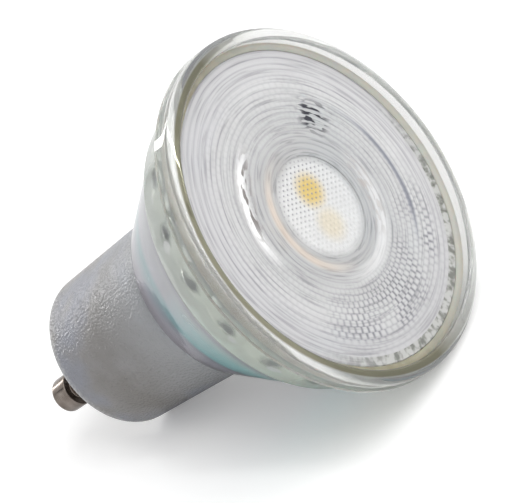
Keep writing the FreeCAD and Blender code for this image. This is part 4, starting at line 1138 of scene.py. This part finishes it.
class LAMP_OT_stage(bpy.types.Operator):
    """Lay the floor against the rim and the base, and set the light and the camera"""

    bl_idname = "lamp.stage"
    bl_label = "Stage"

    # The camera's place, the point that it looks at, its roll and its lens.
    camera_place = Vector((0.34877, -0.1088, 0.37122))
    camera_aim = Vector((-0.00436, 0.00216, 0.02921))
    camera_roll = math.radians(55.55)
    camera_lens = 260.7

    def execute(self, context):
        settings = context.scene.lamp_stage
        self.set_camera(context.scene)
        up = self.lay_floor(settings.floor_turn)
        self.light_world(context.scene, settings.sky)
        # Each with its direction, its distance and its size.
        above = (up + Vector((0, 0, 1.0))).normalized()
        left = self.seen(-0.822, 0.322, -0.47)
        self.soft_light("overhead_light", settings.overhead, above, 0.8, (0.8, 0.8))
        self.soft_light("side_light", settings.side, left, 0.7, (0.6, 0.07))
        self.dark_card("left_card", self.seen(-0.98, -0.08, -0.05), 0.2, (0.09, 0.025))
        return {"FINISHED"}

    def lay_floor(self, turn):
        """A square floor that touches the back of the rim and the base, on this side."""
        outward = heading(turn)
        profile = [(vert.co.xy.length, vert.co.z)
                   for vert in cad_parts["base_shell"].data.vertices]
        radius, height = min(profile, key=lambda point: (
            (RIM_RADIUS - point[0]) / (RIM_BACK - point[1])))
        rim = outward * RIM_RADIUS + Vector((0, 0, RIM_BACK))
        heel = outward * radius + Vector((0, 0, height))
        along = (rim - heel).normalized()
        across = Vector((-outward.y, outward.x, 0))
        down = across.cross(along)
        if down.dot(outward) < 0:
            down.negate()
        half = 1.2
        floor = flat_card("floor", (rim + heel) / 2, along * half, across * half,
                          floor_material())
        if floor.data.polygons[0].normal.dot(down) > 0:
            floor.data.flip_normals()
        return -down

    def seen(self, right, up, toward):
        """The direction that the camera sees as so far right, up and toward itself."""
        return (self.turned @ Vector((right, up, toward))).normalized()

    def facing(self, made, away, distance):
        """Set an object off in a direction from the aim, turned back to it, with its width
        along the lamp's axis."""
        along = away.cross(Vector((0, 0, 1)).cross(away)).normalized()
        turned = Matrix((along, away.cross(along), away)).transposed()
        place = Matrix.Translation(self.camera_aim + away * distance)
        made.matrix_world = place @ turned.to_4x4()

    def dark_card(self, name, away, distance, size):
        """A dark card that shows only in reflections and through the glass."""
        paper = finish("dark_card_paper", "#3C3C3E", "#464648", 20.0, 1.0, 0.05, 0.9)
        card = flat_card(name, Vector(), Vector((size[0] / 2, 0, 0)),
                         Vector((0, size[1] / 2, 0)), paper)
        self.facing(card, away, distance)
        card.visible_camera = card.visible_diffuse = card.visible_shadow = False

    def light_world(self, scene, strength):
        """A white surround: full white to the camera and in glass, softer on surfaces."""
        world = bpy.data.worlds.new("white_surround")
        world.use_nodes = True
        tree = world.node_tree
        tree.nodes.clear()
        path = add(tree, "ShaderNodeLightPath").outputs
        white = path["Is Camera Ray"]
        for ray in ("Is Glossy Ray", "Is Transmission Ray"):
            white = add(tree, "MAXIMUM", (white, path[ray]))
        level = add(tree, RANGE, {"Value": white, "To Min": strength})
        surround = add(tree, "ShaderNodeBackground", {
            "Color": (1, 1, 1, 1), "Strength": level})
        add(tree, "ShaderNodeOutputWorld", {"Surface": surround})
        scene.world = world

    def soft_light(self, name, power, away, distance, size):
        """A soft light in this direction from the lamp, with its width and height."""
        lamp = bpy.data.lights.new(name, "AREA")
        lamp.energy = power
        lamp.shape = "RECTANGLE"
        lamp.size, lamp.size_y = size
        self.facing(new_object(name, lamp), away, distance)

    def set_camera(self, scene):
        """The camera at the photographed angle."""
        data = bpy.data.cameras.new("camera")
        data.lens = self.camera_lens
        data.clip_start = 0.01
        camera = new_object("camera", data)
        back = (self.camera_place - self.camera_aim).normalized()
        right = Vector((0, 0, 1)).cross(back).normalized()
        level = Matrix((right, back.cross(right), back)).transposed().to_4x4()
        self.turned = (level @ Matrix.Rotation(self.camera_roll, 4, "Z")).to_3x3()
        camera.matrix_world = Matrix.Translation(self.camera_place) @ self.turned.to_4x4()
        scene.camera = camera
        scene.view_settings.view_transform = "Standard"


class LAMP_PT_panel(bpy.types.Panel):
    """The lamp's pieces in the order that they are made"""

    bl_idname = "LAMP_PT_panel"
    bl_label = "Reflector lamp"
    bl_space_type = "VIEW_3D"
    bl_region_type = "UI"
    bl_category = "Lamp"

    def draw(self, context):
        for name in SETTINGS:
            group = getattr(context.scene, name)
            column = self.layout.column()
            for setting in group.__annotations__:
                column.prop(group, setting)
        for operator in OPERATORS:
            self.layout.operator(operator.bl_idname)


SETTINGS = {
    "lamp_glass": GlassSettings,
    "lamp_lens": LensSettings,
    "lamp_seal": SealSettings,
    "lamp_stage": StageSettings,
}
OPERATORS = (LAMP_OT_glass, LAMP_OT_lens, LAMP_OT_seal, LAMP_OT_base, LAMP_OT_light_engine,
             LAMP_OT_driver, LAMP_OT_stage)


def register():
    """Register the settings, the operators and the panel."""
    for name, group in SETTINGS.items():
        bpy.utils.register_class(group)
        setattr(bpy.types.Scene, name, PointerProperty(type=group))
    for operator in OPERATORS + (LAMP_PT_panel,):
        bpy.utils.register_class(operator)


def unregister():
    """Take them off again."""
    for operator in (LAMP_PT_panel,) + OPERATORS:
        bpy.utils.unregister_class(operator)
    for name, group in SETTINGS.items():
        delattr(bpy.types.Scene, name)
        bpy.utils.unregister_class(group)


def main():
    """Build the lamp."""
    register()
    bpy.ops.lamp.glass()
    bpy.ops.lamp.lens()
    bpy.ops.lamp.seal()
    bpy.ops.lamp.base()
    bpy.ops.lamp.light_engine()
    bpy.ops.lamp.driver()
    bpy.ops.lamp.stage()
    bpy.context.view_layer.update()


if __name__ == "__main__":
    main()
